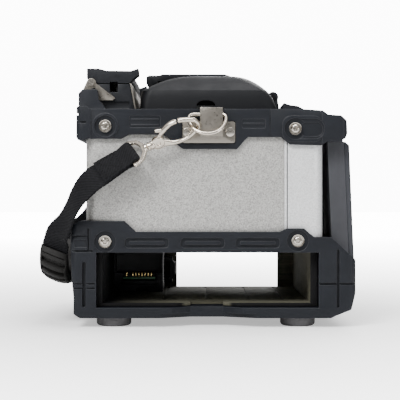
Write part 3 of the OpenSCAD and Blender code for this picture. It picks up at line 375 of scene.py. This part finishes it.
def make_materials():
    plastic = dict(mottle=0.1, mottle_mm=14, bump=0.3, bump_mm=0.45, spread=0.07, specular=0.22)
    smooth = dict(mottle=0.05, mottle_mm=20, bump=0.15, bump_mm=0.3, spread=0.05, specular=0.22)
    steel = dict(metallic=1.0, mottle=0.05, mottle_mm=3, bump=0.12, bump_mm=0.25, spread=0.08)
    return {
        "bumper_plastic": finish("bumper_plastic", (0.0065, 0.0078, 0.011), 0.5, **plastic),
        "bay_plastic": bay_plastic("bay_plastic", (0.075, 0.072, 0.053), (0.0045, 0.0045, 0.005)),
        "silver_paint": flake_paint("silver_paint", (0.37, 0.365, 0.35), 0.42, 0.36, 0.42),
        "light_paint": paint_with_groove_shade("light_paint", (0.68, 0.685, 0.69), 0.4, 0.16, 0.42),
        "deck_plastic": finish("deck_plastic", (0.008, 0.009, 0.012), 0.55, **plastic),
        "foot_rubber": finish("foot_rubber", (0.11, 0.108, 0.112), 0.75, **plastic),
        "black_oxide": finish("black_oxide", (0.02, 0.02, 0.022), 0.4, **steel),
        "screw_steel": finish("screw_steel", (0.6, 0.56, 0.5), 0.2, **steel),
        "brass": finish("brass", (0.8, 0.6, 0.28), 0.3, **steel),
        "sheet_steel": finish("sheet_steel", (0.26, 0.24, 0.21), 0.34, **steel),
        "connector_plastic": finish("connector_plastic", (0.003, 0.0035, 0.005), 0.45, **smooth),
        "board": finish("board", (0.015, 0.09, 0.035), 0.4, mottle=0.7, mottle_mm=0.8, bump=0.2,
                        bump_mm=0.8),
        "gold": finish("gold", (0.92, 0.7, 0.32), 0.25, **steel),
        "heater_plastic": finish("heater_plastic", (0.0065, 0.0075, 0.01), 0.5, **plastic),
        "heater_alloy": finish("heater_alloy", (0.6, 0.58, 0.55), 0.35, **steel),
        # the skirt's colour is painted shade and the crown's colour is painted light
        "cover_plastic": cover_plastic("cover_plastic", (0.0025, 0.003, 0.0045),
                                       (0.0065, 0.0068, 0.0085)),
        "grip_plastic": finish("grip_plastic", (0.004, 0.0045, 0.006), 0.42, **smooth),
        "alloy": finish("alloy", (0.5, 0.51, 0.52), 0.38, **steel),
        "ceramic": finish("ceramic", (0.72, 0.7, 0.62), 0.45, **smooth),
        "tungsten": finish("tungsten", (0.45, 0.45, 0.46), 0.3, **steel),
        "lens_metal": finish("lens_metal", (0.12, 0.12, 0.13), 0.35, **steel),
        "key_grey": finish("key_grey", (0.17, 0.18, 0.19), 0.55, **smooth),
        "key_red": finish("key_red", (0.4, 0.04, 0.03), 0.5, **smooth),
        "key_green": finish("key_green", (0.05, 0.22, 0.08), 0.5, **smooth),
        "key_orange": finish("key_orange", (0.5, 0.19, 0.04), 0.5, **smooth),
        "arc_coil": finish("arc_coil", (0.28, 0.17, 0.06), 0.5, **smooth),
        "monitor_plastic": finish("monitor_plastic", (0.044, 0.045, 0.051), 0.45, **plastic),
        "bezel_plastic": finish("bezel_plastic", (0.034, 0.036, 0.042), 0.4, **smooth),
        "screen_glass": finish("screen_glass", (0.008, 0.009, 0.011), 0.08, mottle=0.05, spread=0.02,
                               bump=0.02, coat=0.6),
        "wire_chrome": finish("wire_chrome", (0.6, 0.54, 0.46), 0.16, **steel),
        "hook_nickel": finish("hook_nickel", (0.62, 0.56, 0.48), 0.2, **steel),
        "webbing": woven("webbing", (0.003, 0.003, 0.004), 1.1, 0.75),
        "grip_rubber": finish("grip_rubber", (0.009, 0.0085, 0.008), 0.6, **plastic),
    }


# ---- pieces that round off a CAD node ----

def new_piece(name, mesh, node=None, body=None, slot=None):
    """Puts a mesh in the scene: it rides on its body and, where it stands for a node, replaces it."""
    piece = placed(name, mesh)
    slot = slot or slot_of[node]
    piece.data.materials.clear()
    piece.data.materials.append(materials[slot])
    if node:
        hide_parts(node)
    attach(piece, body or body_of[node])
    return piece


def baked(source, name):
    """The mesh of an object with its modifiers applied."""
    bpy.context.view_layer.update()
    graph = bpy.context.evaluated_depsgraph_get()
    mesh = bpy.data.meshes.new_from_object(source.evaluated_get(graph))
    mesh.name = name
    bpy.data.objects.remove(source)
    return mesh


def refined(node, width_mm):
    """A copy of a CAD node whose edges are rounded, as a moulding's or casting's are."""
    mesh = frame["nodes"][node].data.copy()
    work = bmesh.new()
    work.from_mesh(mesh)
    bmesh.ops.remove_doubles(work, verts=work.verts, dist=2e-6)
    bmesh.ops.dissolve_limit(work, angle_limit=math.radians(0.6), verts=work.verts, edges=work.edges)
    work.to_mesh(mesh)
    work.free()
    source = placed(node + "_work", mesh)
    bevel = source.modifiers.new("bevel", "BEVEL")
    bevel.width = width_mm * MM
    bevel.segments = 3
    bevel.limit_method = "ANGLE"
    bevel.angle_limit = math.radians(25)
    bevel.use_clamp_overlap = True
    mesh = baked(source, node + "_looks")
    mesh.shade_smooth()
    mesh.set_sharp_from_angle(angle=math.radians(38))
    new_piece(node + "_looks", mesh, node)


def refine_all():
    """Rounds every node that isn't rebuilt, by a width in mm that suits how it is made."""
    widths = {
        "lower_frame": 0.45, "upper_frame": 0.4, "bay_liner": 0.4, "rear_shell": 0.3, "front_shell": 0.3,
        "top_deck": 0.3, "heater_housing": 0.35, "heater_lid": 0.4, "heater_tray": 0.2,
        "heater_brackets": 0.15, "heater_front_plate": 0.15, "wind_cover_grip": 0.4, "contact_block": 0.3,
        "battery_latch": 0.3, "strap_brackets": 0.25, "key_console": 0.35, "monitor_shell": 0.8,
        "monitor_bezel": 0.5, "monitor_glass": 0.2, "rubber_feet": 0.3, "splice_chassis": 0.4,
        "v_grooves": 0.12, "electrode_holders": 0.25, "near_stage": 0.25, "far_stage": 0.25,
        "near_clamp": 0.3, "far_clamp": 0.3, "power_key": 0.2, "reset_key": 0.2, "splice_key": 0.2,
        "heat_key": 0.2, "direction_pad": 0.2, "bracket_screws": 0.2, "contact_blades": 0.1,
        "contact_board": 0.1, "fibre_pressers": 0.15, "microscopes": 0.2, "stage_motors": 0.2,
    }
    for node, width in widths.items():
        refined(node, width)


# ---- shapes built here ----

def islands(node):
    """Lowest and highest corner of each separate solid in a CAD node, from the rear forwards."""
    work = bmesh.new()
    work.from_mesh(frame["nodes"][node].data)
    bmesh.ops.remove_doubles(work, verts=work.verts, dist=2e-6)
    found = []
    unseen = set(work.verts)
    while unseen:
        group = set()
        open_set = [unseen.pop()]
        while open_set:
            vertex = open_set.pop()
            group.add(vertex)
            for edge in vertex.link_edges:
                other = edge.other_vert(vertex)
                if other in unseen:
                    unseen.remove(other)
                    open_set.append(other)
        low = Vector(min(v.co[i] for v in group) for i in range(3))
        high = Vector(max(v.co[i] for v in group) for i in range(3))
        found.append((low, high))
    work.free()
    return sorted(found, key=lambda box: tuple(box[0]))


def meshed(name, build, smooth_angle=38):
    """A mesh from a function that fills an empty bmesh, shaded smooth up to an angle."""
    work = bmesh.new()
    build(work)
    bmesh.ops.recalc_face_normals(work, faces=work.faces)
    mesh = bpy.data.meshes.new(name)
    work.to_mesh(mesh)
    work.free()
    mesh.shade_smooth()
    mesh.set_sharp_from_angle(angle=math.radians(smooth_angle))
    return mesh


def loft(work, rings, closed=False, caps=True):
    """Skins a row of rings, each a list of points with the same count."""
    rows = [[work.verts.new(p) for p in ring] for ring in rings]
    pairs = list(zip(rows, rows[1:]))
    if closed:
        pairs.append((rows[-1], rows[0]))
    for a, b in pairs:
        for i in range(len(a)):
            j = (i + 1) % len(a)
            work.faces.new((a[i], a[j], b[j], b[i]))
    if caps and not closed:
        work.faces.new(rows[0])
        work.faces.new(rows[-1])
    return rows


def turned(work, profile, place, axis, star=0.0, star_radius=0.0, steps=48):
    """A lathe shape: (radius, height) pairs in mm about a line. Points inside star_radius wave in
    and out six times a turn, which makes a six-lobed socket."""
    turn = Vector((0, 0, 1)).rotation_difference(Vector(axis)).to_matrix()
    rings = []
    for radius, height in profile:
        ring = []
        for i in range(steps):
            angle = 2 * math.pi * i / steps
            r = radius * (1 + star * math.cos(6 * angle)) if radius <= star_radius else radius
            point = Vector((r * math.cos(angle), r * math.sin(angle), height))
            ring.append(Vector(place) + turn @ point * MM)
        rings.append(ring)
    loft(work, rings)


def cast(node, voxel_mm, rounds):
    """A copy of a CAD node as a casting: remeshed finely and relaxed, so that its edges run round."""
    source = placed(node + "_work", frame["nodes"][node].data.copy())
    remesh = source.modifiers.new("remesh", "REMESH")
    remesh.mode = "VOXEL"
    remesh.voxel_size = voxel_mm * MM
    relax = source.modifiers.new("relax", "SMOOTH")
    relax.factor = 0.5
    relax.iterations = rounds
    mesh = baked(source, node + "_looks")
    mesh.shade_smooth()
    new_piece(node + "_looks", mesh, node)


def add_screws():
    """Pan heads with a flange, a groove and a six-lobed socket."""
    socket = [(0.01, 0.6), (1.0, 0.6), (1.05, 2.0)]
    crown = [(1.3, 2.32), (1.8, 2.25), (2.2, 1.9), (2.4, 1.3)]
    groove = [(2.45, 0.1), (3.05, 0.1)]
    flange = [(3.1, 1.2), (3.25, 1.5), (3.5, 1.55), (3.68, 1.3), (3.7, 0.9), (3.7, 0.0)]
    shank = [(1.95, 0.0), (1.95, -7.0), (0.01, -7.0)]
    profile = socket + crown + groove + flange + shank
    flange_back = 2.4

    def build(work):
        for low, high in islands("frame_screws"):
            side = -1 if low.y < 0 else 1
            face = low.y if side < 0 else high.y
            place = ((low.x + high.x) / 2, face - side * flange_back * MM, (low.z + high.z) / 2)
            turned(work, profile, place, (0, side, 0), star=0.16, star_radius=1.3)

    new_piece("frame_screws_looks", meshed("frame_screws_looks", build, 30), "frame_screws")


# ---- wind cover ----

# sizes of the cover in mm: the crown above its shoulder line and how fast it rises, the wall, the
# fibre's arch, and the hinge's line and radius
CROWN_RISE = 9.8
CROWN_CURVE = 1.75
CROWN_STEPS = 16
COVER_WALL = 2.2
ARCH_HALF = 5.4
HINGE_X = 45.6
HINGE_Z = 133.4
HINGE_R = 3.2


def rounded_ring(x0, x1, half_y, radius, z, steps=10):
    """A level rounded rectangle about the fibre, in mm."""
    ring = []
    corners = [(x1 - radius, half_y - radius, 0), (x0 + radius, half_y - radius, 90),
               (x0 + radius, -half_y + radius, 180), (x1 - radius, -half_y + radius, 270)]
    for cx, cy, start in corners:
        for i in range(steps + 1):
            angle = math.radians(start + 90 * i / steps)
            ring.append(Vector((cx + radius * math.cos(angle), cy + radius * math.sin(angle), z)) * MM)
    return ring


def extruded(work, outline, y0, y1):
    """An outline in X and Z, in mm, taken from y0 to y1."""
    loft(work, [[Vector((x, y, z)) * MM for x, z in outline] for y in (y0, y1)])


def cut_with(piece, build):
    """Takes the shapes that build makes out of a piece."""
    tool = placed("tool", meshed("tool", build))
    cut = piece.modifiers.new("cut", "BOOLEAN")
    cut.operation = "DIFFERENCE"
    cut.solver = "EXACT"
    cut.use_self = True
    cut.object = tool
    mesh = baked(piece, piece.name)
    bpy.data.objects.remove(tool)
    return mesh


def cover_rings():
    """Level rings of the cover's outside: an upright skirt, a crisp shoulder line and a curved crown."""
    low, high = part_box("wind_cover")
    bottom = low.z / MM
    shoulder = high.z / MM - CROWN_RISE
    # height, rear end, front end, half length along the fibre, corner radius
    skirt = [
        (bottom, -33.2, 47.2, 50.2, 5),
        (bottom + 0.4, -33.2, 47.2, 50.2, 5),
        (132, -32.9, 44.6, 49.8, 6),
        (shoulder - 0.7, -32.5, 41.9, 49.5, 7),
        (shoulder - 0.15, -32.2, 41.4, 49.3, 7),
    ]
    rings = [rounded_ring(x0, x1, y, r, z) for z, x0, x1, y, r in skirt]
    for i in range(1, CROWN_STEPS + 1):
        t = i / CROWN_STEPS
        rise = 1 - (1 - t) ** CROWN_CURVE
        height = shoulder + CROWN_RISE * rise
        rings.append(rounded_ring(-32 + 26 * t, 41.2 - 17.2 * t, 49.1 - 16.1 * t, 7 + 2 * t, height))
    return rings


def cover_shell():
    """The cover's outside, thickened inwards to a wall."""
    def outside(work):
        rows = loft(work, cover_rings(), caps=False)
        work.faces.new(rows[-1])

    source = placed("cover_work", meshed("cover_work", outside))
    wall = source.modifiers.new("wall", "SOLIDIFY")
    wall.thickness = COVER_WALL * MM
    wall.offset = -1
    return placed("cover_work", baked(source, "cover_work"))


def cover_cutters(work):
    """Room for the frame's knuckles, a notch outside each, and an arch for the fibre at each end."""
    for y0 in (-34.5, 27.5):
        extruded(work, [(39.6, 120), (52, 120), (52, 137.4), (39.6, 137.4)], y0, y0 + 7)
    for y0 in (-46, 34.4):
        extruded(work, [(47.4, 120), (52, 120), (52, 138), (47.4, 138)], y0, y0 + 11.6)
    rear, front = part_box("v_grooves")
    fibre_x = (rear.x + front.x) / 2 / MM
    arch = [(fibre_x + ARCH_HALF, 120), (fibre_x + ARCH_HALF, 127.6)]
    arch += [(fibre_x + ARCH_HALF * math.cos(a), 127.4 + 2.8 * math.sin(a))
             for a in (math.radians(15 * k) for k in range(1, 12))]
    arch += [(fibre_x - ARCH_HALF, 127.6), (fibre_x - ARCH_HALF, 120)]
    for y0 in (-53, 46):
        extruded(work, arch, y0, y0 + 7)


def cover_knuckles(work):
    """The two hinge barrels, each with a tail that runs back into the cover."""
    barrel = [(HINGE_X + HINGE_R * math.cos(a), HINGE_Z + HINGE_R * math.sin(a))
              for a in (math.radians(-110 + 12 * k) for k in range(20))]
    for y0 in (-27.6, 17.6):
        extruded(work, barrel + [(36, 138), (36, 134.2)], y0, y0 + 10)


def add_wind_cover():
    mesh = cut_with(cover_shell(), cover_cutters)

    def whole(work):
        work.from_mesh(mesh)
        cover_knuckles(work)

    new_piece("wind_cover_looks", meshed("wind_cover_looks", whole, 24), "wind_cover")


# ---- carry strap ----

# the webbing's section, the length that is folded back and sewn, and the middle of the eye's bar, in mm
WEB_WIDTH = 16.0
WEB_THICK = 1.5
FOLD = 21.0
BAR = (-36.3, -76.3, 97.7)
BAR_RADIUS = 1.3
# the near webbing's route from the eye to the grip: middle and direction across the width
WEB_STATIONS = [
    ((-42, -77, 94.2), (0.3, -0.66, -0.66)),
    ((-48, -77.4, 90.4), (0.34, -0.58, -0.7)),
    ((-54.6, -77.4, 86), (0.4, -0.5, -0.74)),
    ((-61, -76.8, 80.6), (0.42, -0.52, -0.74)),
    ((-66.4, -75.2, 74), (0.42, -0.68, -0.6)),
    ((-70.6, -72.6, 66.6), (0.42, -0.8, -0.42)),
    ((-74.4, -69, 59), (0.55, -0.75, -0.36)),
    ((-79, -64.6, 52.4), (0.78, -0.5, -0.37)),
    ((-80.4, -60.8, 47.4), (0.9, -0.2, -0.38)),
    ((-81.6, -57.6, 43), (0.93, 0, -0.37)),
]
# the grip's direction across its width, and the pitch and depth of its cross slots in mm
GRIP_WIDTH = Vector((0.93, 0, -0.37)).normalized()
SLOT_PITCH = 4.4
SLOT_DEPTH = 2.6
# the grip's near half: middle, half width, half thickness
GRIP_STATIONS = [
    ((-81.6, -58.2, 43.6), 8.2, 2.2),
    ((-81.8, -57.8, 39.4), 8.8, 3.6),
    ((-82, -56.2, 35.4), 8.8, 4.6),
    ((-82, -52.6, 31.8), 8.8, 5),
    ((-81.9, -46.8, 29.4), 8.8, 5),
    ((-81.7, -38, 28.4), 8.8, 5),
    ((-81.5, -20, 28), 8.8, 5),
]


def smooth_step(x):
    x = min(1.0, max(0.0, x))
    return x * x * (3 - 2 * x)


def through(points, steps):
    """A smooth line through points, with a number of steps between each two."""
    line = []
    ends = [points[0] * 2 - points[1]] + points + [points[-1] * 2 - points[-2]]
    for a, b, c, d in zip(ends, ends[1:], ends[2:], ends[3:]):
        for i in range(steps):
            t = i / steps
            line.append(0.5 * (2 * b + (c - a) * t + (2 * a - 5 * b + 4 * c - d) * t * t
                               + (3 * b - 3 * c + d - a) * t ** 3))
    line.append(points[-1])
    return line


def strap_frames(side):
    """Distance from the eye's bar, middle, and the directions across, outwards and along."""
    flip = Vector((1, -side, 1))
    middles = through([Vector(BAR)] + [Vector(c) for c, q in WEB_STATIONS], 24)
    widths = through([Vector(WEB_STATIONS[0][1])] + [Vector(q) for c, q in WEB_STATIONS], 24)
    frames = []
    distance = 0.0
    for i, middle in enumerate(middles):
        along = (middles[min(i + 1, len(middles) - 1)] - middles[max(i - 1, 0)]).normalized()
        width = (widths[i] - along * widths[i].dot(along)).normalized()
        normal = along.cross(width)
        if i:
            distance += (middle - middles[i - 1]).length
        frames.append((distance, middle * flip, width * flip, normal * flip, along * flip))
    return frames


def web_path(side):
    """The strap's own path: back along the sewn layer, round the eye's bar, then out to the grip."""
    frames = strap_frames(side)
    gap = WEB_THICK / 2 + BAR_RADIUS
    close = WEB_THICK / 2 + 0.05
    path = []
    for distance, middle, width, normal, along in reversed(frames):
        if distance <= FOLD:
            lift = gap + (close - gap) * smooth_step(distance / 6)
            path.append((middle + normal * lift, width, normal))
    distance, middle, width, normal, along = frames[0]
    for i in range(1, 16):
        angle = math.pi * i / 16
        out = normal * math.cos(angle) - along * math.sin(angle)
        path.append((middle + out * gap, width, out))
    for distance, middle, width, normal, along in frames:
        lift = gap + (close - gap) * smooth_step(distance / 6)
        lift *= 1 - smooth_step((distance - FOLD + 1) / 5)
        path.append((middle - normal * lift, width, -normal))
    return path


def web_section(flat_steps=18, round_steps=7):
    """The webbing's section in mm, across and through, with rounded selvages."""
    half = WEB_WIDTH / 2
    thick = WEB_THICK / 2
    flat = [(WEB_WIDTH - 2 * thick) * i / flat_steps for i in range(flat_steps + 1)]
    turn = [math.pi * i / round_steps for i in range(1, round_steps)]
    section = [(-half + thick + across, thick) for across in flat]
    section += [(half - thick + thick * math.sin(a), thick * math.cos(a)) for a in turn]
    section += [(half - thick - across, -thick) for across in flat]
    section += [(-half + thick - thick * math.sin(a), -thick * math.cos(a)) for a in turn]
    return section


def add_webbing(name, side):
    """One length of webbing, ribbed across, with its selvages pulled in between the picks."""
    path = web_path(side)
    section = web_section()
    lengths = [0.0]
    for a, b in zip(path, path[1:]):
        lengths.append(lengths[-1] + (b[0] - a[0]).length)

    def build(work):
        rings = []
        for length, (middle, width, normal) in zip(lengths, path):
            ring = []
            for across, depth in section:
                rib = 0.07 * math.sin(2 * math.pi * (length / 1.3 + 0.5 * math.sin(across * 1.6)))
                pull = 0.12 * math.sin(2 * math.pi * length / 2.6) * (abs(across) / 8) ** 6
                lift = depth * (1 + rib * 1.2)
                ring.append((middle + width * across * (1 + pull * 0.12) + normal * lift) * MM)
            rings.append(ring)
        rows = loft(work, rings)
        layer = work.loops.layers.uv.new("weave")
        place = {v: (lengths[i], section[k][0]) for i, row in enumerate(rows) for k, v in enumerate(row)}
        for face in work.faces:
            for loop in face.loops:
                loop[layer].uv = place[loop.vert]

    mesh = meshed(name + "_looks", build, 60)
    piece = new_piece(name + "_looks", mesh, name)
    add_stitches(name, side)


def thread(work, a, b, normal, radius):
    """One stitch: a short run of thread that dips at both ends."""
    along = (b - a).normalized()
    across = along.cross(normal).normalized()
    rings = []
    for i in range(9):
        t = i / 8
        thin = math.sqrt(max(0.04, 1 - (2 * t - 1) ** 4))
        middle = a.lerp(b, t) - normal * 0.22 * (2 * t - 1) ** 2
        rings.append([(middle + (across * math.cos(w) + normal * math.sin(w)) * radius * thin) * MM
                      for w in (2 * math.pi * k / 8 for k in range(8))])
    loft(work, rings)


def add_stitches(name, side):
    """A sewn box with a cross in it, which holds the folded end down."""
    frames = strap_frames(side)

    def place(distance, across):
        nearest = min(frames, key=lambda f: abs(f[0] - distance))
        middle, width, normal = nearest[1:4]
        return middle + width * across + normal * (WEB_THICK + 0.1), normal

    start, end, half = 8.0, FOLD - 1.6, 6.2
    pitch, radius = 1.9, 0.24
    sides = [((start, -half), (end, -half)), ((start, half), (end, half))]
    ends = [((d, -half), (d, half)) for d in (start, end, end - 1.2)]
    cross = [((start, -half), (end, half)), ((start, half), (end, -half))]

    def build(work):
        for (d0, a0), (d1, a1) in sides + ends + cross:
            count = max(2, round(math.hypot(d1 - d0, a1 - a0) / pitch))
            for i in range(count):
                t0 = (i + 0.08) / count
                t1 = (i + 0.92) / count
                a, normal = place(d0 + (d1 - d0) * t0, a0 + (a1 - a0) * t0)
                b, normal = place(d0 + (d1 - d0) * t1, a0 + (a1 - a0) * t1)
                thread(work, a, b, normal, radius)

    new_piece(name.replace("webbing", "stitches"), meshed("stitches", build, 60), body="carry_strap",
              slot="webbing")


def grip_frames():
    """Distance from the nearer end, middle, outward normal, half width and half thickness."""
    stations = [(Vector(c), w, t) for c, w, t in GRIP_STATIONS] + [(Vector((-81.5, 0, 28)), 8.8, 5)]
    stations += [(Vector((c[0], -c[1], c[2])), w, t) for c, w, t in reversed(GRIP_STATIONS)]
    middles = through([c for c, w, t in stations], 30)
    sizes = through([Vector((w, t, 0)) for c, w, t in stations], 30)
    lengths = [0.0]
    for a, b in zip(middles, middles[1:]):
        lengths.append(lengths[-1] + (b - a).length)
    frames = []
    for i, middle in enumerate(middles):
        along = (middles[min(i + 1, len(middles) - 1)] - middles[max(i - 1, 0)]).normalized()
        normal = GRIP_WIDTH.cross(along).normalized()
        near_end = min(lengths[i], lengths[-1] - lengths[i])
        frames.append((near_end, middle, normal, sizes[i].x, sizes[i].y))
    return frames


def add_grip():
    """A moulded grip in a U from webbing to webbing: a rim round a field of cross slots."""
    steps = 84

    def build(work):
        rings = []
        for near_end, middle, normal, half_width, half_thick in grip_frames():
            ring = []
            for k in range(steps):
                angle = 2 * math.pi * k / steps
                c, s = math.cos(angle), math.sin(angle)
                across = half_width * math.copysign(abs(c) ** 0.8, c)
                out = half_thick * math.copysign(abs(s) ** 0.75, s)
                field = smooth_step((half_width - 1.5 - abs(across)) / 0.5)
                field *= smooth_step((near_end - 3) / 0.6)
                slot = smooth_step((0.3 - abs(near_end / SLOT_PITCH % 1 - 0.5)) / 0.08)
                if s < 0:
                    out += field * (0.3 + SLOT_DEPTH * slot)
                ring.append((middle + GRIP_WIDTH * across + normal * out) * MM)
            rings.append(ring)
        loft(work, rings)

    new_piece("strap_grip_looks", meshed("strap_grip_looks", build, 50), "strap_grip")


# ---- snap hooks ----

# the near gate's pin and the hook's thickness in mm, and the hook's lean and roll
HOOK_PIN = Vector((-21.4, -76.3, 104.1))
HOOK_THICK = 2.8
HOOK_TURN = (Matrix.Rotation(math.radians(-23.4), 3, "Y")
             @ Matrix.Rotation(math.radians(90 + 36), 3, "X"))


def hook_place(x, y, z, side):
    """A point in the hook's own plane, whose origin is the gate's pin, put in the frame."""
    return (HOOK_PIN + HOOK_TURN @ Vector((x, y, z))) * Vector((1, -side, 1)) * MM


def swept(work, stations, side, steps=24):
    """A rounded bar along stations of x, y, half width in the plane and half height across it."""
    line = through([Vector((x, y, 0)) for x, y, wide, high in stations], 10)
    sizes = through([Vector((wide, high, 0)) for x, y, wide, high in stations], 10)
    rings = []
    for i, middle in enumerate(line):
        along = (line[min(i + 1, len(line) - 1)] - line[max(i - 1, 0)]).normalized()
        inward = Vector((-along.y, along.x, 0))
        end = min(i, len(line) - 1 - i)
        shrink = (0.72, 0.9, 0.97)[end] if end < 3 else 1.0
        ring = []
        for k in range(steps):
            angle = 2 * math.pi * k / steps
            across = math.copysign(abs(math.cos(angle)) ** 0.9, math.cos(angle)) * sizes[i].x * shrink
            height = math.copysign(abs(math.sin(angle)) ** 0.8, math.sin(angle)) * sizes[i].y * shrink
            p = middle + inward * across
            ring.append(hook_place(p.x, p.y, height, side))
        rings.append(ring)
    loft(work, rings)


def spun(work, profile, side, along_x=False, steps=40):
    """A turned shape in the hook's frame, about the pin or about the swivel's line."""
    rings = []
    for radius, height in profile:
        ring = []
        for k in range(steps):
            angle = 2 * math.pi * k / steps
            u, v = radius * math.cos(angle), radius * math.sin(angle)
            ring.append(hook_place(height, u, v, side) if along_x else hook_place(u, v, height, side))
        rings.append(ring)
    loft(work, rings)


def hook_body(work, side):
    """A disc with an eyelet on each side of the pin, the swivel's barrel, and the bow with its nose."""
    half = HOOK_THICK / 2
    for sign in (-1, 1):
        eyelet = [(0.01, 0.4), (0.95, 0.4), (1.0, half - 0.3), (1.25, half), (3.1, half),
                  (3.6, half - 0.3), (3.85, half - 0.8), (3.85, 1.0), (0.01, 1.0)]
        spun(work, [(radius, sign * height) for radius, height in eyelet], side)
    barrel = [(0.01, -6.4), (2.0, -6.4), (2.5, -6.0), (2.5, -5.3), (2.1, -5.0), (2.1, -4.7),
              (2.5, -4.4), (2.4, -3.0), (1.8, -2.2), (0.01, -2.2)]
    spun(work, barrel, side, along_x=True)
    bow = [(0.6, -1.4, 2.3, half - 0.2), (4, -2.4, 2.0, half - 0.3), (8, -3.9, 1.35, 1.7),
           (12.6, -4.7, 1.1, 1.5), (17, -4.3, 1.1, 1.5), (21, -2.8, 1.15, 1.6),
           (23.8, -1, 1.25, 1.7), (24.5, 1.4, 1.3, 1.7), (23.6, 3.9, 1.25, 1.7),
           (21, 5.7, 1.2, 1.7), (17.6, 7.3, 1.2, 1.7), (14.7, 8.2, 1.25, 1.7)]
    swept(work, bow, side)


def hook_gate(work, side):
    """The gate: a disc on the pin, a neck, the closing arm, the thumb lever and a rib along its back."""
    disc = [(0.01, -0.75), (2.1, -0.75), (2.3, -0.55), (2.3, 0.55), (2.1, 0.75), (0.01, 0.75)]
    spun(work, disc, side)
    neck = [(0.9, 1.6, 0.9, 0.75), (1.6, 3.0, 1.0, 0.75), (2.8, 4.4, 1.1, 0.75)]
    arm = [(2.4, 4.4, 1.1, 1.4), (4.6, 5.7, 1.35, 1.7), (7.4, 7.2, 1.3, 1.75),
           (10.4, 8.2, 1.25, 1.7), (13.9, 8.35, 1.2, 1.7)]
    lever = [(4.6, 6.2, 0.9, 1.1), (2.6, 7.1, 1.0, 1.2), (0.8, 7.9, 0.8, 1.2)]
    rib = [(10.7, 8.6, 0.6, 1.5), (12, 8.8, 0.65, 1.6), (13.2, 8.6, 0.6, 1.5)]
    for stations in (neck, arm, lever, rib):
        swept(work, stations, side)


def add_hook(name, side):
    for node, shape in ((name + "_hook", hook_body), (name + "_gate", hook_gate)):
        mesh = meshed(node + "_looks", lambda work: shape(work, side), 40)
        new_piece(node + "_looks", mesh, node)


add_camera()
materials = make_materials()
# paint the lighter highlight colour along the mouldings' edges
for slot, (radius, edge) in EDGE_HIGHLIGHTS.items():
    paint_edge_highlights(materials[slot], radius, edge)
add_studio()
for name, node in frame["nodes"].items():
    node.data.materials.clear()
    node.data.materials.append(materials[slot_of[name]])
refine_all()
add_screws()
add_wind_cover()
add_webbing("near_webbing", -1)
add_webbing("far_webbing", 1)
add_grip()
add_hook("near", -1)
add_hook("far", 1)
for node in ("near_eye", "far_eye"):
    cast(node, 0.17, 8)
for node in ("near_d_ring", "far_d_ring"):
    cast(node, 0.2, 12)
